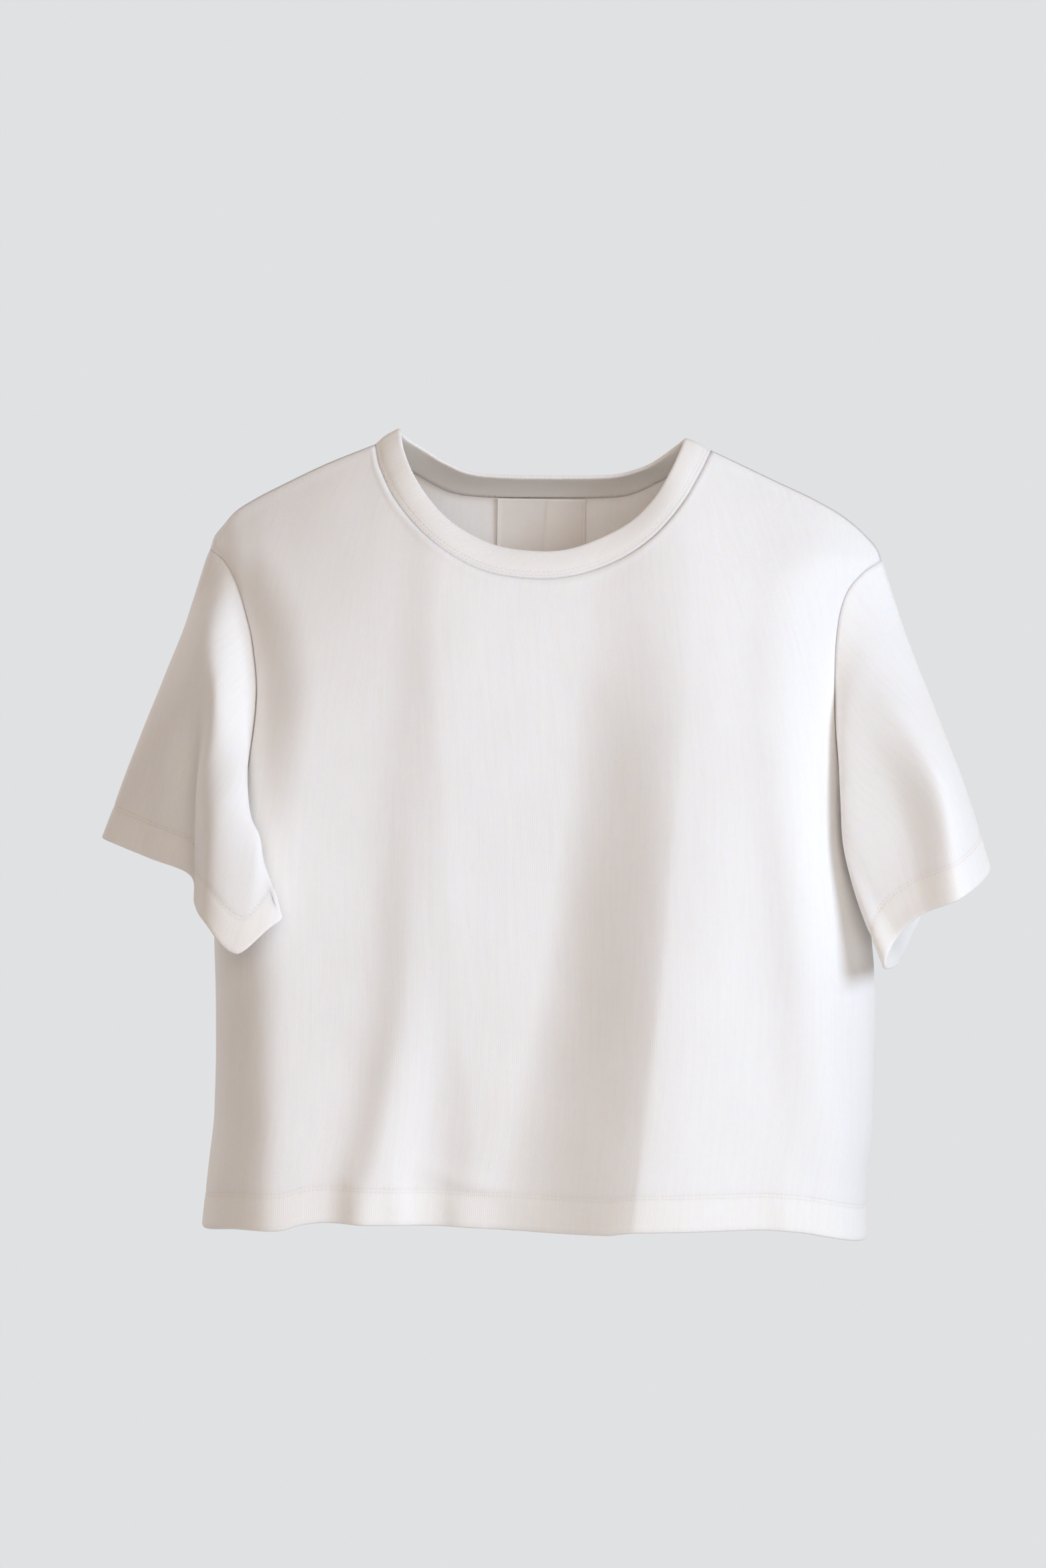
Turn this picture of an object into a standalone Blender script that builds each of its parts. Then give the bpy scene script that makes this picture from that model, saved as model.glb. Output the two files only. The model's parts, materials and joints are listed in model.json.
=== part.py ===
"""A cropped crew-neck t-shirt, filled out with no wearer, as the pieces it is cut and sewn from.

Metres, +Z up. The front faces -Y and the wearer's right sleeve is at -X. The origin is midway
between the two points where the shoulder seams meet the neck band.

Each panel is a grid of points on one smooth skin: its columns run from the hem to the shoulder
and neck, and its rows from side to side. A piece is the skin's outer points and the same points
moved in by the cloth's thickness, and neighbours stay a seam's gap apart.
"""

from collections import namedtuple

import bmesh
import bpy
import numpy as np

CLOTH = 0.0016  # one layer of heavy jersey, with the loft that it has when it hangs
HEM_WALL = 0.0026  # where the edge is turned up and stitched
HEM_TURN = 0.020  # height of the turned-up hem and cuffs
SEAM_GAP = 0.0003
CHEST_FLAT = 0.510  # width of a panel laid flat

NECK_HALF = 0.1046  # half of the neck's width, between the ends of the shoulder seams
BAND_WALL = 0.0026  # rib folded double
BAND_CROWN = 0.0008  # the folded band is fuller in its middle

LABEL_WIDTH = 0.056
LABEL_HEIGHT = 0.047
LABEL_TOP = -0.0275
LABEL_WALL = 0.0010
LABEL_STANDOFF = 0.0012  # room between the label and the inside of the back

SHOULDER_COLUMNS = 11  # of each panel's grid, under one shoulder seam
SIDE_ROWS = 10  # between the hem's turn and the armpit
ARMHOLE_ROWS = 14  # between the armpit and the shoulder's tip
SLEEVE_ROWS = 7  # between the armhole and the cuff's turn
BAND_ROWS = 3
LABEL_CELLS = (4, 6)
SAMPLES = 2401  # fine points that a row's even spacing is measured on
SMOOTH_ANGLE = 1.05
SIDE_PULL = 7  # how quickly the sides' shape fades from the rows, inwards
TOP_FADE = 2.5  # how quickly the neck's and shoulders' shape fades from the rows, downwards
NECK_SPREAD = 0.042  # how far the rows below the neck's ends fan out
CLEARANCE = 0.004  # a sleeve's outer skin stays this far from the body's

ARMPIT = -0.258
SHOULDER_TIP = -0.067
ARMHOLE_FLARE = 0.0115  # the body would be this much wider each side if it had no armhole
FLARE_RISE = 0.070  # and gains that over this height above the armpit

# The body's outline from the front: side seams up to the armpit, then the armhole seams.
Level = namedtuple("Level", "height left right")
OUTLINE = (
    Level(-0.486, -0.203, 0.210),
    Level(-0.455, -0.200, 0.209),
    Level(-0.415, -0.196, 0.212),
    Level(-0.350, -0.197, 0.212),
    Level(-0.300, -0.199, 0.209),
    Level(ARMPIT, -0.195, 0.203),
    Level(-0.238, -0.188, 0.196),
    Level(-0.200, -0.176, 0.184),
    Level(-0.158, -0.172, 0.180),
    Level(-0.125, -0.176, 0.181),
    Level(-0.107, -0.181, 0.183),
    Level(-0.090, -0.187, 0.188),
    Level(-0.075, -0.196, 0.200),
    Level(SHOULDER_TIP, -0.206, 0.212),
)

# The shoulder seams, which dip to the tip like the round end of a shoulder.
ShoulderPoint = namedtuple("ShoulderPoint", "out height")
SHOULDER_LEFT = (
    ShoulderPoint(NECK_HALF, 0.0),
    ShoulderPoint(0.1355, -0.0130),
    ShoulderPoint(0.1606, -0.0255),
    ShoulderPoint(0.1800, -0.0360),
    ShoulderPoint(0.1910, -0.0435),
    ShoulderPoint(0.1985, -0.0525),
    ShoulderPoint(0.2040, -0.0600),
    ShoulderPoint(0.2060, SHOULDER_TIP),
)
SHOULDER_RIGHT = (
    ShoulderPoint(NECK_HALF, 0.0),
    ShoulderPoint(0.1454, -0.0185),
    ShoulderPoint(0.1707, -0.0300),
    ShoulderPoint(0.1890, -0.0405),
    ShoulderPoint(0.2035, -0.0530),
    ShoulderPoint(0.2100, -0.0610),
    ShoulderPoint(0.2120, SHOULDER_TIP),
)

# A fold runs down the cloth through three heights. It pushes the skin out by so much at each,
# fading over its width to the left and right. A ramp rises to a sharp crest, a bell is soft.
FOLD_HEIGHTS = (-0.480, -0.300, -0.120)
Fold = namedtuple("Fold", "name x_low x_middle x_high low middle high left right shape")
FRONT_FOLDS = (
    Fold("left roll", -0.150, -0.160, -0.150, 0.010, 0.003, 0.000, 0.026, 0.046, "bell"),
    Fold("forked ridge", -0.098, -0.073, -0.075, 0.012, 0.006, 0.000, 0.017, 0.024, "bell"),
    Fold("chest ridge", -0.028, -0.045, -0.062, 0.005, 0.004, 0.004, 0.018, 0.055, "bell"),
    Fold("main fold", 0.060, 0.077, 0.090, 0.039, 0.031, 0.010, 0.064, 0.085, "ramp"),
    Fold("right ridge", 0.199, 0.165, 0.157, 0.007, 0.007, 0.006, 0.022, 0.024, "bell"),
)
BACK_FOLDS = (
    Fold("left fold", -0.118, -0.106, -0.098, 0.013, 0.009, 0.003, 0.030, 0.034, "bell"),
    Fold("middle fold", -0.030, -0.024, -0.012, 0.008, 0.005, 0.001, 0.034, 0.028, "bell"),
    Fold("right fold", 0.074, 0.064, 0.060, 0.015, 0.010, 0.002, 0.030, 0.038, "bell"),
    Fold("side fold", 0.160, 0.150, 0.146, 0.009, 0.006, 0.002, 0.024, 0.026, "bell"),
)

# The neck seam of each panel from left to right, below the shoulder seams' ends.
NeckPoint = namedtuple("NeckPoint", "x height")
FRONT_NECK = (
    NeckPoint(-NECK_HALF, 0.0),
    NeckPoint(-0.1030, -0.0089),
    NeckPoint(-0.1001, -0.0178),
    NeckPoint(-0.0920, -0.0343),
    NeckPoint(-0.0799, -0.0503),
    NeckPoint(-0.0660, -0.0636),
    NeckPoint(-0.0489, -0.0748),
    NeckPoint(-0.0313, -0.0820),
    NeckPoint(-0.0090, -0.0852),
    NeckPoint(0.0120, -0.0844),
    NeckPoint(0.0331, -0.0789),
    NeckPoint(0.0531, -0.0690),
    NeckPoint(0.0707, -0.0547),
    NeckPoint(0.0863, -0.0350),
    NeckPoint(0.0972, -0.0158),
    NeckPoint(NECK_HALF, 0.0),
)
BACK_NECK = (
    NeckPoint(-NECK_HALF, 0.0),
    NeckPoint(-0.0950, -0.0070),
    NeckPoint(-0.0808, -0.0135),
    NeckPoint(-0.0604, -0.0236),
    NeckPoint(-0.0408, -0.0267),
    NeckPoint(0.0, -0.0270),
    NeckPoint(0.0411, -0.0260),
    NeckPoint(0.0591, -0.0230),
    NeckPoint(0.0800, -0.0128),
    NeckPoint(0.0955, -0.0065),
    NeckPoint(NECK_HALF, 0.0),
)

# The hems' edges, which rise a little between the side seams.
HemPoint = namedtuple("HemPoint", "x height")
FRONT_HEM = (
    HemPoint(OUTLINE[0].left, OUTLINE[0].height),
    HemPoint(-0.190, -0.4825),
    HemPoint(-0.176, -0.4800),
    HemPoint(-0.148, -0.4785),
    HemPoint(-0.136, -0.4750),
    HemPoint(-0.120, -0.4733),
    HemPoint(-0.054, -0.4750),
    HemPoint(0.005, -0.4760),
    HemPoint(0.043, -0.4748),
    HemPoint(0.062, -0.4720),
    HemPoint(0.130, -0.4718),
    HemPoint(0.155, -0.4735),
    HemPoint(0.180, -0.4785),
    HemPoint(OUTLINE[0].right, OUTLINE[0].height),
)
BACK_HEM = (
    HemPoint(OUTLINE[0].left, OUTLINE[0].height),
    HemPoint(-0.170, -0.4822),
    HemPoint(-0.100, -0.4806),
    HemPoint(0.0, -0.4800),
    HemPoint(0.100, -0.4808),
    HemPoint(0.175, -0.4825),
    HemPoint(OUTLINE[0].right, OUTLINE[0].height),
)

# The band's free edge from left to right. Out is how far it lies before or behind the shoulders.
EdgePoint = namedtuple("EdgePoint", "x out height")
BAND_LEFT = EdgePoint(-0.0903, 0.0, 0.0098)
BAND_RIGHT = EdgePoint(0.0893, 0.0, 0.0072)
BAND_FRONT = (
    BAND_LEFT,
    EdgePoint(-0.0891, 0.007, 0.0026),
    EdgePoint(-0.0869, 0.013, -0.0062),
    EdgePoint(-0.0809, 0.022, -0.0200),
    EdgePoint(-0.0716, 0.029, -0.0341),
    EdgePoint(-0.0604, 0.035, -0.0467),
    EdgePoint(-0.0459, 0.039, -0.0572),
    EdgePoint(-0.0269, 0.042, -0.0655),
    EdgePoint(-0.0050, 0.044, -0.0686),
    EdgePoint(0.0150, 0.044, -0.0674),
    EdgePoint(0.0342, 0.042, -0.0606),
    EdgePoint(0.0544, 0.037, -0.0489),
    EdgePoint(0.0694, 0.029, -0.0330),
    EdgePoint(0.0797, 0.020, -0.0156),
    EdgePoint(0.0869, 0.007, 0.0003),
    BAND_RIGHT,
)
BAND_BACK = (
    BAND_LEFT,
    EdgePoint(-0.0872, 0.006, 0.0060),
    EdgePoint(-0.0742, 0.013, -0.0011),
    EdgePoint(-0.0601, 0.017, -0.0088),
    EdgePoint(-0.0408, 0.020, -0.0149),
    EdgePoint(0.0, 0.021, -0.0159),
    EdgePoint(0.0405, 0.020, -0.0148),
    EdgePoint(0.0601, 0.017, -0.0106),
    EdgePoint(0.0714, 0.014, -0.0053),
    EdgePoint(0.0840, 0.007, 0.0034),
    BAND_RIGHT,
)

Panel = namedtuple(
    "Panel",
    "side neck hem neck_columns depth fall shoulder_power left_corner right_corner folds",
)
FRONT = Panel(-1, FRONT_NECK, FRONT_HEM, 22, 0.066, 0.180, 1.0, 0.048, 0.062, FRONT_FOLDS)
BACK = Panel(1, BACK_NECK, BACK_HEM, 14, 0.056, 0.120, 0.5, 0.046, 0.052, BACK_FOLDS)

# A sleeve's lengthwise lines, by their share of the way round from the shoulder's tip, over the
# front to the underarm at a half and back up behind. Each starts on the armhole.
SleeveLine = namedtuple("SleeveLine", "share head middle cuff")
# Hangs forward: its front is a lobe with a crest, and the cloth steps back behind that crest.
SLEEVE_LEFT = (
    SleeveLine(0.00, (-0.222, 0.002, -0.117), (-0.247, 0.003, -0.183), (-0.271, 0.006, -0.247)),
    SleeveLine(0.08, (-0.208, -0.034, -0.122), (-0.230, -0.024, -0.190), (-0.240, -0.020, -0.258)),
    SleeveLine(0.17, (-0.197, -0.055, -0.150), (-0.208, -0.042, -0.196), (-0.211, -0.044, -0.268)),
    SleeveLine(0.25, (-0.189, -0.068, -0.188), (-0.203, -0.070, -0.212), (-0.205, -0.068, -0.285)),
    SleeveLine(0.33, (-0.176, -0.076, -0.212), (-0.190, -0.090, -0.232), (-0.197, -0.090, -0.294)),
    SleeveLine(0.42, (-0.170, -0.072, -0.238), (-0.166, -0.090, -0.249), (-0.176, -0.098, -0.312)),
    SleeveLine(0.46, (-0.171, -0.059, -0.251), (-0.162, -0.085, -0.260), (-0.158, -0.095, -0.297)),
    SleeveLine(0.50, (-0.189, -0.034, -0.264), (-0.159, -0.085, -0.272), (-0.150, -0.089, -0.291)),
    SleeveLine(0.54, (-0.196, -0.012, -0.266), (-0.163, -0.079, -0.278), (-0.156, -0.084, -0.289)),
    SleeveLine(0.60, (-0.205, 0.015, -0.258), (-0.195, -0.044, -0.282), (-0.182, -0.061, -0.288)),
    SleeveLine(0.68, (-0.211, 0.038, -0.234), (-0.206, -0.001, -0.274), (-0.201, -0.025, -0.286)),
    SleeveLine(0.77, (-0.216, 0.047, -0.203), (-0.221, 0.035, -0.243), (-0.208, 0.013, -0.275)),
    SleeveLine(0.86, (-0.216, 0.044, -0.158), (-0.234, 0.040, -0.212), (-0.222, 0.030, -0.263)),
    SleeveLine(0.93, (-0.219, 0.026, -0.134), (-0.242, 0.027, -0.196), (-0.246, 0.029, -0.255)),
)
# Hangs open and round, so that the cuff's back edge shows below its front edge.
SLEEVE_RIGHT = (
    SleeveLine(0.00, (0.228, 0.000, -0.112), (0.257, 0.000, -0.185), (0.281, 0.000, -0.252)),
    SleeveLine(0.08, (0.214, -0.026, -0.122), (0.252, -0.048, -0.192), (0.273, -0.056, -0.259)),
    SleeveLine(0.17, (0.200, -0.044, -0.140), (0.238, -0.080, -0.201), (0.252, -0.092, -0.272)),
    SleeveLine(0.25, (0.187, -0.056, -0.170), (0.214, -0.072, -0.215), (0.230, -0.084, -0.282)),
    SleeveLine(0.33, (0.182, -0.060, -0.205), (0.188, -0.071, -0.240), (0.216, -0.078, -0.296)),
    SleeveLine(0.42, (0.188, -0.050, -0.245), (0.192, -0.066, -0.272), (0.208, -0.076, -0.315)),
    SleeveLine(0.50, (0.209, -0.018, -0.272), (0.211, -0.036, -0.292), (0.219, -0.038, -0.316)),
    SleeveLine(0.60, (0.216, 0.018, -0.262), (0.220, 0.014, -0.288), (0.230, 0.014, -0.311)),
    SleeveLine(0.68, (0.210, 0.042, -0.225), (0.223, 0.044, -0.262), (0.241, 0.048, -0.299)),
    SleeveLine(0.77, (0.207, 0.054, -0.180), (0.229, 0.060, -0.232), (0.251, 0.066, -0.284)),
    SleeveLine(0.86, (0.214, 0.046, -0.145), (0.241, 0.056, -0.208), (0.266, 0.060, -0.269)),
    SleeveLine(0.93, (0.222, 0.024, -0.122), (0.252, 0.034, -0.192), (0.278, 0.036, -0.257)),
)

# Colour and roughness of each finish.
FINISHES = {
    "jersey": ((0.93, 0.91, 0.88, 1.0), 0.92),
    "rib": ((0.94, 0.92, 0.90, 1.0), 0.90),
    "label": ((0.89, 0.81, 0.73, 1.0), 0.80),
}


# ---- curves ----


def through(knots, values, at):
    """A smooth curve through the knots that never overshoots them, held level past its ends."""
    knots, values = np.asarray(knots, float), np.asarray(values, float)
    step = np.diff(knots)
    slope = np.diff(values) / step
    inner = np.zeros(len(knots))
    same = slope[:-1] * slope[1:] > 0
    weight_a = 2 * step[1:] + step[:-1]
    weight_b = step[1:] + 2 * step[:-1]
    blend = np.ones(len(slope) - 1)
    blend[same] = (weight_a + weight_b)[same] / (
        weight_a[same] / slope[:-1][same] + weight_b[same] / slope[1:][same]
    )
    inner[1:-1] = np.where(same, blend, 0.0)
    inner[0], inner[-1] = slope[0], slope[-1]
    at = np.clip(np.asarray(at, float), knots[0], knots[-1])
    cell = np.clip(np.searchsorted(knots, at) - 1, 0, len(step) - 1)
    t = (at - knots[cell]) / step[cell]
    return (
        values[cell] * (1 + 2 * t) * (1 - t) ** 2
        + step[cell] * inner[cell] * t * (1 - t) ** 2
        + values[cell + 1] * t**2 * (3 - 2 * t)
        + step[cell] * inner[cell + 1] * t**2 * (t - 1)
    )


def lengths_along(points):
    """Distance from the first point to each point, along them."""
    steps = np.linalg.norm(np.diff(points, axis=0), axis=1)
    return np.concatenate([[0.0], np.cumsum(steps)])


def picked(points, distances):
    """The points at these distances along a finely sampled line."""
    along = lengths_along(points)
    return np.stack([np.interp(distances, along, points[:, k]) for k in range(3)], axis=1)


def evenly(points, count):
    return picked(points, np.linspace(0, lengths_along(points)[-1], count))


def smooth_line(points):
    """A Catmull-Rom curve through a few points, finely sampled."""
    points = np.asarray(points, float)
    ends = np.vstack([2 * points[0] - points[1], points, 2 * points[-1] - points[-2]])
    t = np.linspace(0, 1, 24, endpoint=False)[:, None]
    parts = [spline_part(*ends[i : i + 4], t) for i in range(len(points) - 1)]
    return np.vstack(parts + [points[-1:]])


def spline_part(before, start, end, after, t):
    return 0.5 * (
        2 * start
        + (end - before) * t
        + (2 * before - 5 * start + 4 * end - after) * t**2
        + (3 * start - before - 3 * end + after) * t**3
    )


# ---- the skin of the body ----


def seam_x(height, side):
    """Where the side or armhole seam lies at that height. side is -1 at the left, 1 at the right."""
    return through(
        [level.height for level in OUTLINE],
        [level.left if side < 0 else level.right for level in OUTLINE],
        height,
    )


def outer_x(height, side):
    """The body's side if it had no armhole, where its front and back would meet."""
    above = np.clip((height - ARMPIT) / FLARE_RISE, 0, 1)
    return seam_x(height, side) + side * ARMHOLE_FLARE * above**1.5 * (2.5 - 1.5 * above)


def shoulder_height(x):
    """Height of the shoulder seams, carried level across the neck."""
    left = through([p.out for p in SHOULDER_LEFT], [p.height for p in SHOULDER_LEFT], -x)
    right = through([p.out for p in SHOULDER_RIGHT], [p.height for p in SHOULDER_RIGHT], x)
    return np.where(x < 0, left, right)


def top_height(panel, x):
    """The upper edge of a panel: shoulder seam, neckline, shoulder seam."""
    neck = smooth_line(panel.neck)
    return np.where(np.abs(x) < NECK_HALF, np.interp(x, neck[:, 0], neck[:, 1]), shoulder_height(x))


def hem_height(panel, x):
    """The lower edge, which rises a little between the side seams."""
    return through([point.x for point in panel.hem], [point.height for point in panel.hem], x)


def corner(distance, width):
    """How the body rounds off towards its side: 0 at the side, 1 from that width inwards."""
    share = np.clip(distance / width, 0, 1)
    return np.sqrt(share * (2 - share))


def fold_push(fold, x, z):
    """How far one fold pushes the skin out at each point."""
    crest = through(FOLD_HEIGHTS, (fold.x_low, fold.x_middle, fold.x_high), z)
    push = through(FOLD_HEIGHTS, (fold.low, fold.middle, fold.high), z)
    away = np.where(x < crest, (crest - x) / fold.left, (x - crest) / fold.right)
    bell = np.exp(-(away**2))
    ramp = np.where(x < crest, np.clip(1 - away, 0, 1) ** 2, bell)
    return push * (ramp if fold.shape == "ramp" else bell)


def skin_y(panel, x, z):
    """Depth of the front or back at each point seen from the front."""
    below = np.clip((shoulder_height(x) - z) / panel.fall, 0, 1)
    top = (below * (2 - below)) ** panel.shoulder_power
    left = corner(x - outer_x(z, -1), panel.left_corner)
    right = corner(outer_x(z, 1) - x, panel.right_corner)
    depth = panel.depth + sum(fold_push(fold, x, z) for fold in panel.folds)
    return panel.side * depth * top * left * right


def fine_row(panel, share):
    """One row of the skin, at that share of the way from the hem's corner to the shoulder's tip."""
    low, tips = OUTLINE[0], OUTLINE[-1]
    height = low.height + share * (tips.height - low.height)
    across = np.sort(np.append((1 - np.cos(np.pi * np.linspace(0, 1, SAMPLES))) / 2, neck_ends()))
    top_x = tips.left + (tips.right - tips.left) * across
    spread = NECK_SPREAD * np.sqrt(1 - share) * share**6
    left_neck, right_neck = (np.exp(-(((across - end) / 0.1) ** 2)) for end in neck_ends())
    x = (
        top_x
        + (seam_x(height, -1) - tips.left) * (1 - across) ** SIDE_PULL
        + (seam_x(height, 1) - tips.right) * across**SIDE_PULL
        + spread * (right_neck - left_neck)
    )
    hem = hem_height(panel, low.left + (low.right - low.left) * across) - low.height
    top = top_height(panel, top_x) - tips.height
    z = height + hem * (1 - share) + top * share**TOP_FADE
    return np.stack([x, skin_y(panel, x, z), z], axis=1), np.searchsorted(across, neck_ends())


def neck_ends():
    """Where the neck starts and ends, as shares of the way between the shoulders' tips."""
    tips = OUTLINE[-1]
    return (np.array([-NECK_HALF, NECK_HALF]) - tips.left) / (tips.right - tips.left)


def row_shares():
    """Shares of the rows of both panels: the hem's edge, its turn, up to the armpit, the armhole."""
    low = OUTLINE[0].height
    span = SHOULDER_TIP - low
    heights = np.linspace(ARMPIT, SHOULDER_TIP, SAMPLES)
    x = seam_x(heights, -1)
    seam = np.stack([x, skin_y(FRONT, x, heights), heights], axis=1)
    armhole = (evenly(seam, ARMHOLE_ROWS + 1)[:, 2] - low) / span
    side = np.linspace(HEM_TURN / span, armhole[0], SIDE_ROWS + 1)
    near_top = armhole[-1] - (armhole[-1] - armhole[-2]) * 0.4
    return np.concatenate([[0.0], side, armhole[1:-1], [near_top, armhole[-1]]])


def panel_grid(panel, shares):
    """The panel's outer points, rows from the hem up and columns from left to right."""
    low_share = (CHEST_FLAT / 2 - NECK_HALF) / CHEST_FLAT
    top, ends = fine_row(panel, 1.0)
    along = lengths_along(top)
    neck_shares = along[ends] / along[-1]
    rows = []
    for share in shares:
        points, _ = fine_row(panel, share)
        total = lengths_along(points)[-1]
        start = low_share * (1 - share) + neck_shares[0] * share
        end = (1 - low_share) * (1 - share) + neck_shares[1] * share
        columns = np.concatenate(
            [
                np.linspace(0, start, SHOULDER_COLUMNS + 1),
                np.linspace(start, end, panel.neck_columns + 1)[1:],
                np.linspace(end, 1, SHOULDER_COLUMNS + 1)[1:],
            ]
        )
        rows.append(picked(points, columns * total))
    return np.array(rows)


def body_grids():
    """The front's and back's points, which share their side and shoulder seams exactly."""
    shares = row_shares()
    front, back = panel_grid(FRONT, shares), panel_grid(BACK, shares)
    armpit_row = 1 + SIDE_ROWS
    for column in (0, -1):
        back[: armpit_row + 1, column] = front[: armpit_row + 1, column]
    back[-1, : SHOULDER_COLUMNS + 1] = front[-1, : SHOULDER_COLUMNS + 1]
    back[-1, -SHOULDER_COLUMNS - 1 :] = front[-1, -SHOULDER_COLUMNS - 1 :]
    return front, back


# ---- sleeves, band and label ----


def sleeve_grid(front, back, column, lines):
    """The sleeve's outer points: rings from the armhole to the cuff, round from the shoulder's tip."""
    armpit_row = 1 + SIDE_ROWS
    down = front[armpit_row:, column][::-1]
    up = back[armpit_row + 1 : -1, column]
    armhole = np.vstack([down, up])
    count = len(armhole)
    shares = np.arange(count) / count
    rings = [
        ring_through([line.share for line in lines], [getattr(line, ring) for line in lines], shares)
        for ring in ("head", "middle", "cuff")
    ]
    columns = []
    for start, head, middle, cuff in zip(armhole, *rings):
        line = smooth_line([start, head, middle, cuff])
        length = lengths_along(line)[-1]
        stops = np.append(np.linspace(0, length - HEM_TURN, SLEEVE_ROWS + 1), length)
        columns.append([kept_clear(p, CLEARANCE) for p in picked(line, stops)])
        columns[-1][0] = start
    return np.array(columns).transpose(1, 0, 2)


def kept_clear(point, room):
    """Moves a point out of the body, square to it, until it has that room."""
    height = max(point[2], OUTLINE[0].height)
    x = np.linspace(seam_x(height, -1), seam_x(height, 1), SAMPLES)
    panel = FRONT if point[1] < 0 else BACK
    skin = np.stack([x, skin_y(panel, x, np.full_like(x, height))], axis=1)
    away = point[:2] - skin
    near = np.clip(np.argmin(np.hypot(*away.T)), 1, SAMPLES - 2)
    along = skin[near + 1] - skin[near - 1]
    out = np.array([along[1], -along[0]]) * -panel.side / np.hypot(*along)
    short = room - away[near] @ out
    if near in (1, SAMPLES - 2) or short <= 0:
        return point
    return point + np.append(out * short, 0.0)


def ring_through(shares, points, at):
    """A smooth closed ring through points at uneven shares of the way round."""
    knots = np.concatenate([[s - 1 for s in shares[-2:]], shares, [s + 1 for s in shares[:3]]])
    points = np.array(points)
    points = np.vstack([points[-2:], points, points[:3]])
    found = []
    for share in at:
        i = np.searchsorted(knots, share, side="right") - 1
        gap = knots[i + 1] - knots[i]
        t = (share - knots[i]) / gap
        slope_a = (points[i + 1] - points[i - 1]) / (knots[i + 1] - knots[i - 1]) * gap
        slope_b = (points[i + 2] - points[i]) / (knots[i + 2] - knots[i]) * gap
        found.append(
            points[i] * (1 + 2 * t) * (1 - t) ** 2
            + slope_a * t * (1 - t) ** 2
            + points[i + 1] * t**2 * (3 - 2 * t)
            + slope_b * t**2 * (t - 1)
        )
    return np.array(found)


def band_edge(points, side, count):
    """The band's free edge from left to right, over the front (-1) or the back (1)."""
    return evenly(smooth_line(points) * (1, side, 1), count)


def band_grid(front, back):
    """Rings from the neck seam to the free edge, from the left shoulder round by the front."""
    neck = slice(SHOULDER_COLUMNS, -SHOULDER_COLUMNS)
    seam = np.vstack([front[-1, neck], back[-1, neck][::-1][1:-1]])
    before = band_edge(BAND_FRONT, -1, FRONT.neck_columns + 1)
    behind = band_edge(BAND_BACK, 1, BACK.neck_columns + 1)
    edge = np.vstack([before, behind[::-1][1:-1]])
    shares = np.linspace(0, 1, BAND_ROWS + 1)
    return np.array([seam * (1 - share) + edge * share for share in shares])


def label_grid():
    """The label's face against the back panel's inside, top row first."""
    rows, columns = LABEL_CELLS
    x = np.linspace(-LABEL_WIDTH / 2, LABEL_WIDTH / 2, columns + 1)
    z = np.linspace(LABEL_TOP - LABEL_HEIGHT, LABEL_TOP, rows + 1)
    x, z = np.meshgrid(x, z)
    points = np.stack([x, skin_y(BACK, x, z), z], axis=2)
    return points - unit(point_sums(points, -1, False)) * (CLOTH + LABEL_STANDOFF)


# ---- walls ----


def face_normals(grid, facing, closed):
    """One area-weighted normal for each cell. facing is -1 where rows and columns turn them in."""
    right = np.roll(grid, -1, axis=1) if closed else grid[:, 1:]
    left = grid if closed else grid[:, :-1]
    return facing * np.cross(right[1:] - left[:-1], left[1:] - right[:-1])


def point_sums(grid, facing, closed):
    """At each point of a grid, the sum of its cells' normals."""
    normals = face_normals(grid, facing, closed)
    sums = np.zeros_like(grid)
    for row in (slice(None, -1), slice(1, None)):
        if closed:
            sums[row] += normals + np.roll(normals, 1, axis=1)
        else:
            sums[row, :-1] += normals
            sums[row, 1:] += normals
    return sums


def unit(vectors):
    return vectors / np.linalg.norm(vectors, axis=-1, keepdims=True)


def way_in(line, inner_line, normals, closed):
    """At each point of a border line, the way into the piece, square to the line."""
    if closed:
        along = np.roll(line, -1, axis=0) - np.roll(line, 1, axis=0)
    else:
        along = np.gradient(line, axis=0)
    across = unit(np.cross(along, normals))
    return across * np.sign(np.sum(across * (inner_line - line), axis=1, keepdims=True))


def border_ways(grid, normals, closed):
    """The ways in from all of a grid's borders. Inside the borders they are zero."""
    ways = np.zeros_like(grid)
    ways[0] += way_in(grid[0], grid[1], normals[0], closed)
    ways[-1] += way_in(grid[-1], grid[-2], normals[-1], closed)
    if not closed:
        ways[:, 0] += way_in(grid[:, 0], grid[:, 1], normals[:, 0], False)
        ways[:, -1] += way_in(grid[:, -1], grid[:, -2], normals[:, -1], False)
    return ways / np.maximum(np.linalg.norm(ways, axis=2, keepdims=True), 1e-9)


def sewn(pieces):
    """For each piece, its normals and the shifts that keep it a gap clear of its neighbours.

    Pieces that meet at a point share one normal there, so that their inner faces meet too. Where
    the cloth folds back over its own seam, each piece keeps its own normal instead.
    """
    meetings, kept = {}, []
    for piece in pieces:
        sums = point_sums(piece.grid, piece.facing, piece.closed)
        ways = border_ways(piece.grid, unit(sums), piece.closed)
        kept.append((sums, ways))
        for row, column in np.argwhere(np.any(ways, axis=2)):
            meeting = meetings.setdefault(key_of(piece.grid[row, column]), [])
            meeting.append((sums[row, column], ways[row, column]))
    found = []
    for piece, (sums, ways) in zip(pieces, kept):
        normals, shifts = unit(sums), np.zeros_like(sums)
        for row, column in np.argwhere(np.any(ways, axis=2)):
            meeting = meetings[key_of(piece.grid[row, column])]
            if len(meeting) == 1:
                continue
            own, way = normals[row, column], ways[row, column]
            shared = unit(sum(total for total, _ in meeting))
            others = (sum(other for _, other in meeting) - way) / (len(meeting) - 1)
            rise = own @ others * 4
            turn = (0.75 - own @ shared) * 4
            back = np.clip(max(rise, min(turn, rise + 0.6)), 0, 1)
            normals[row, column] = unit(shared * (1 - back) + own * back)
            shifts[row, column] = unit(way - others) * SEAM_GAP / 2
        found.append((normals, shifts))
    return found


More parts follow.
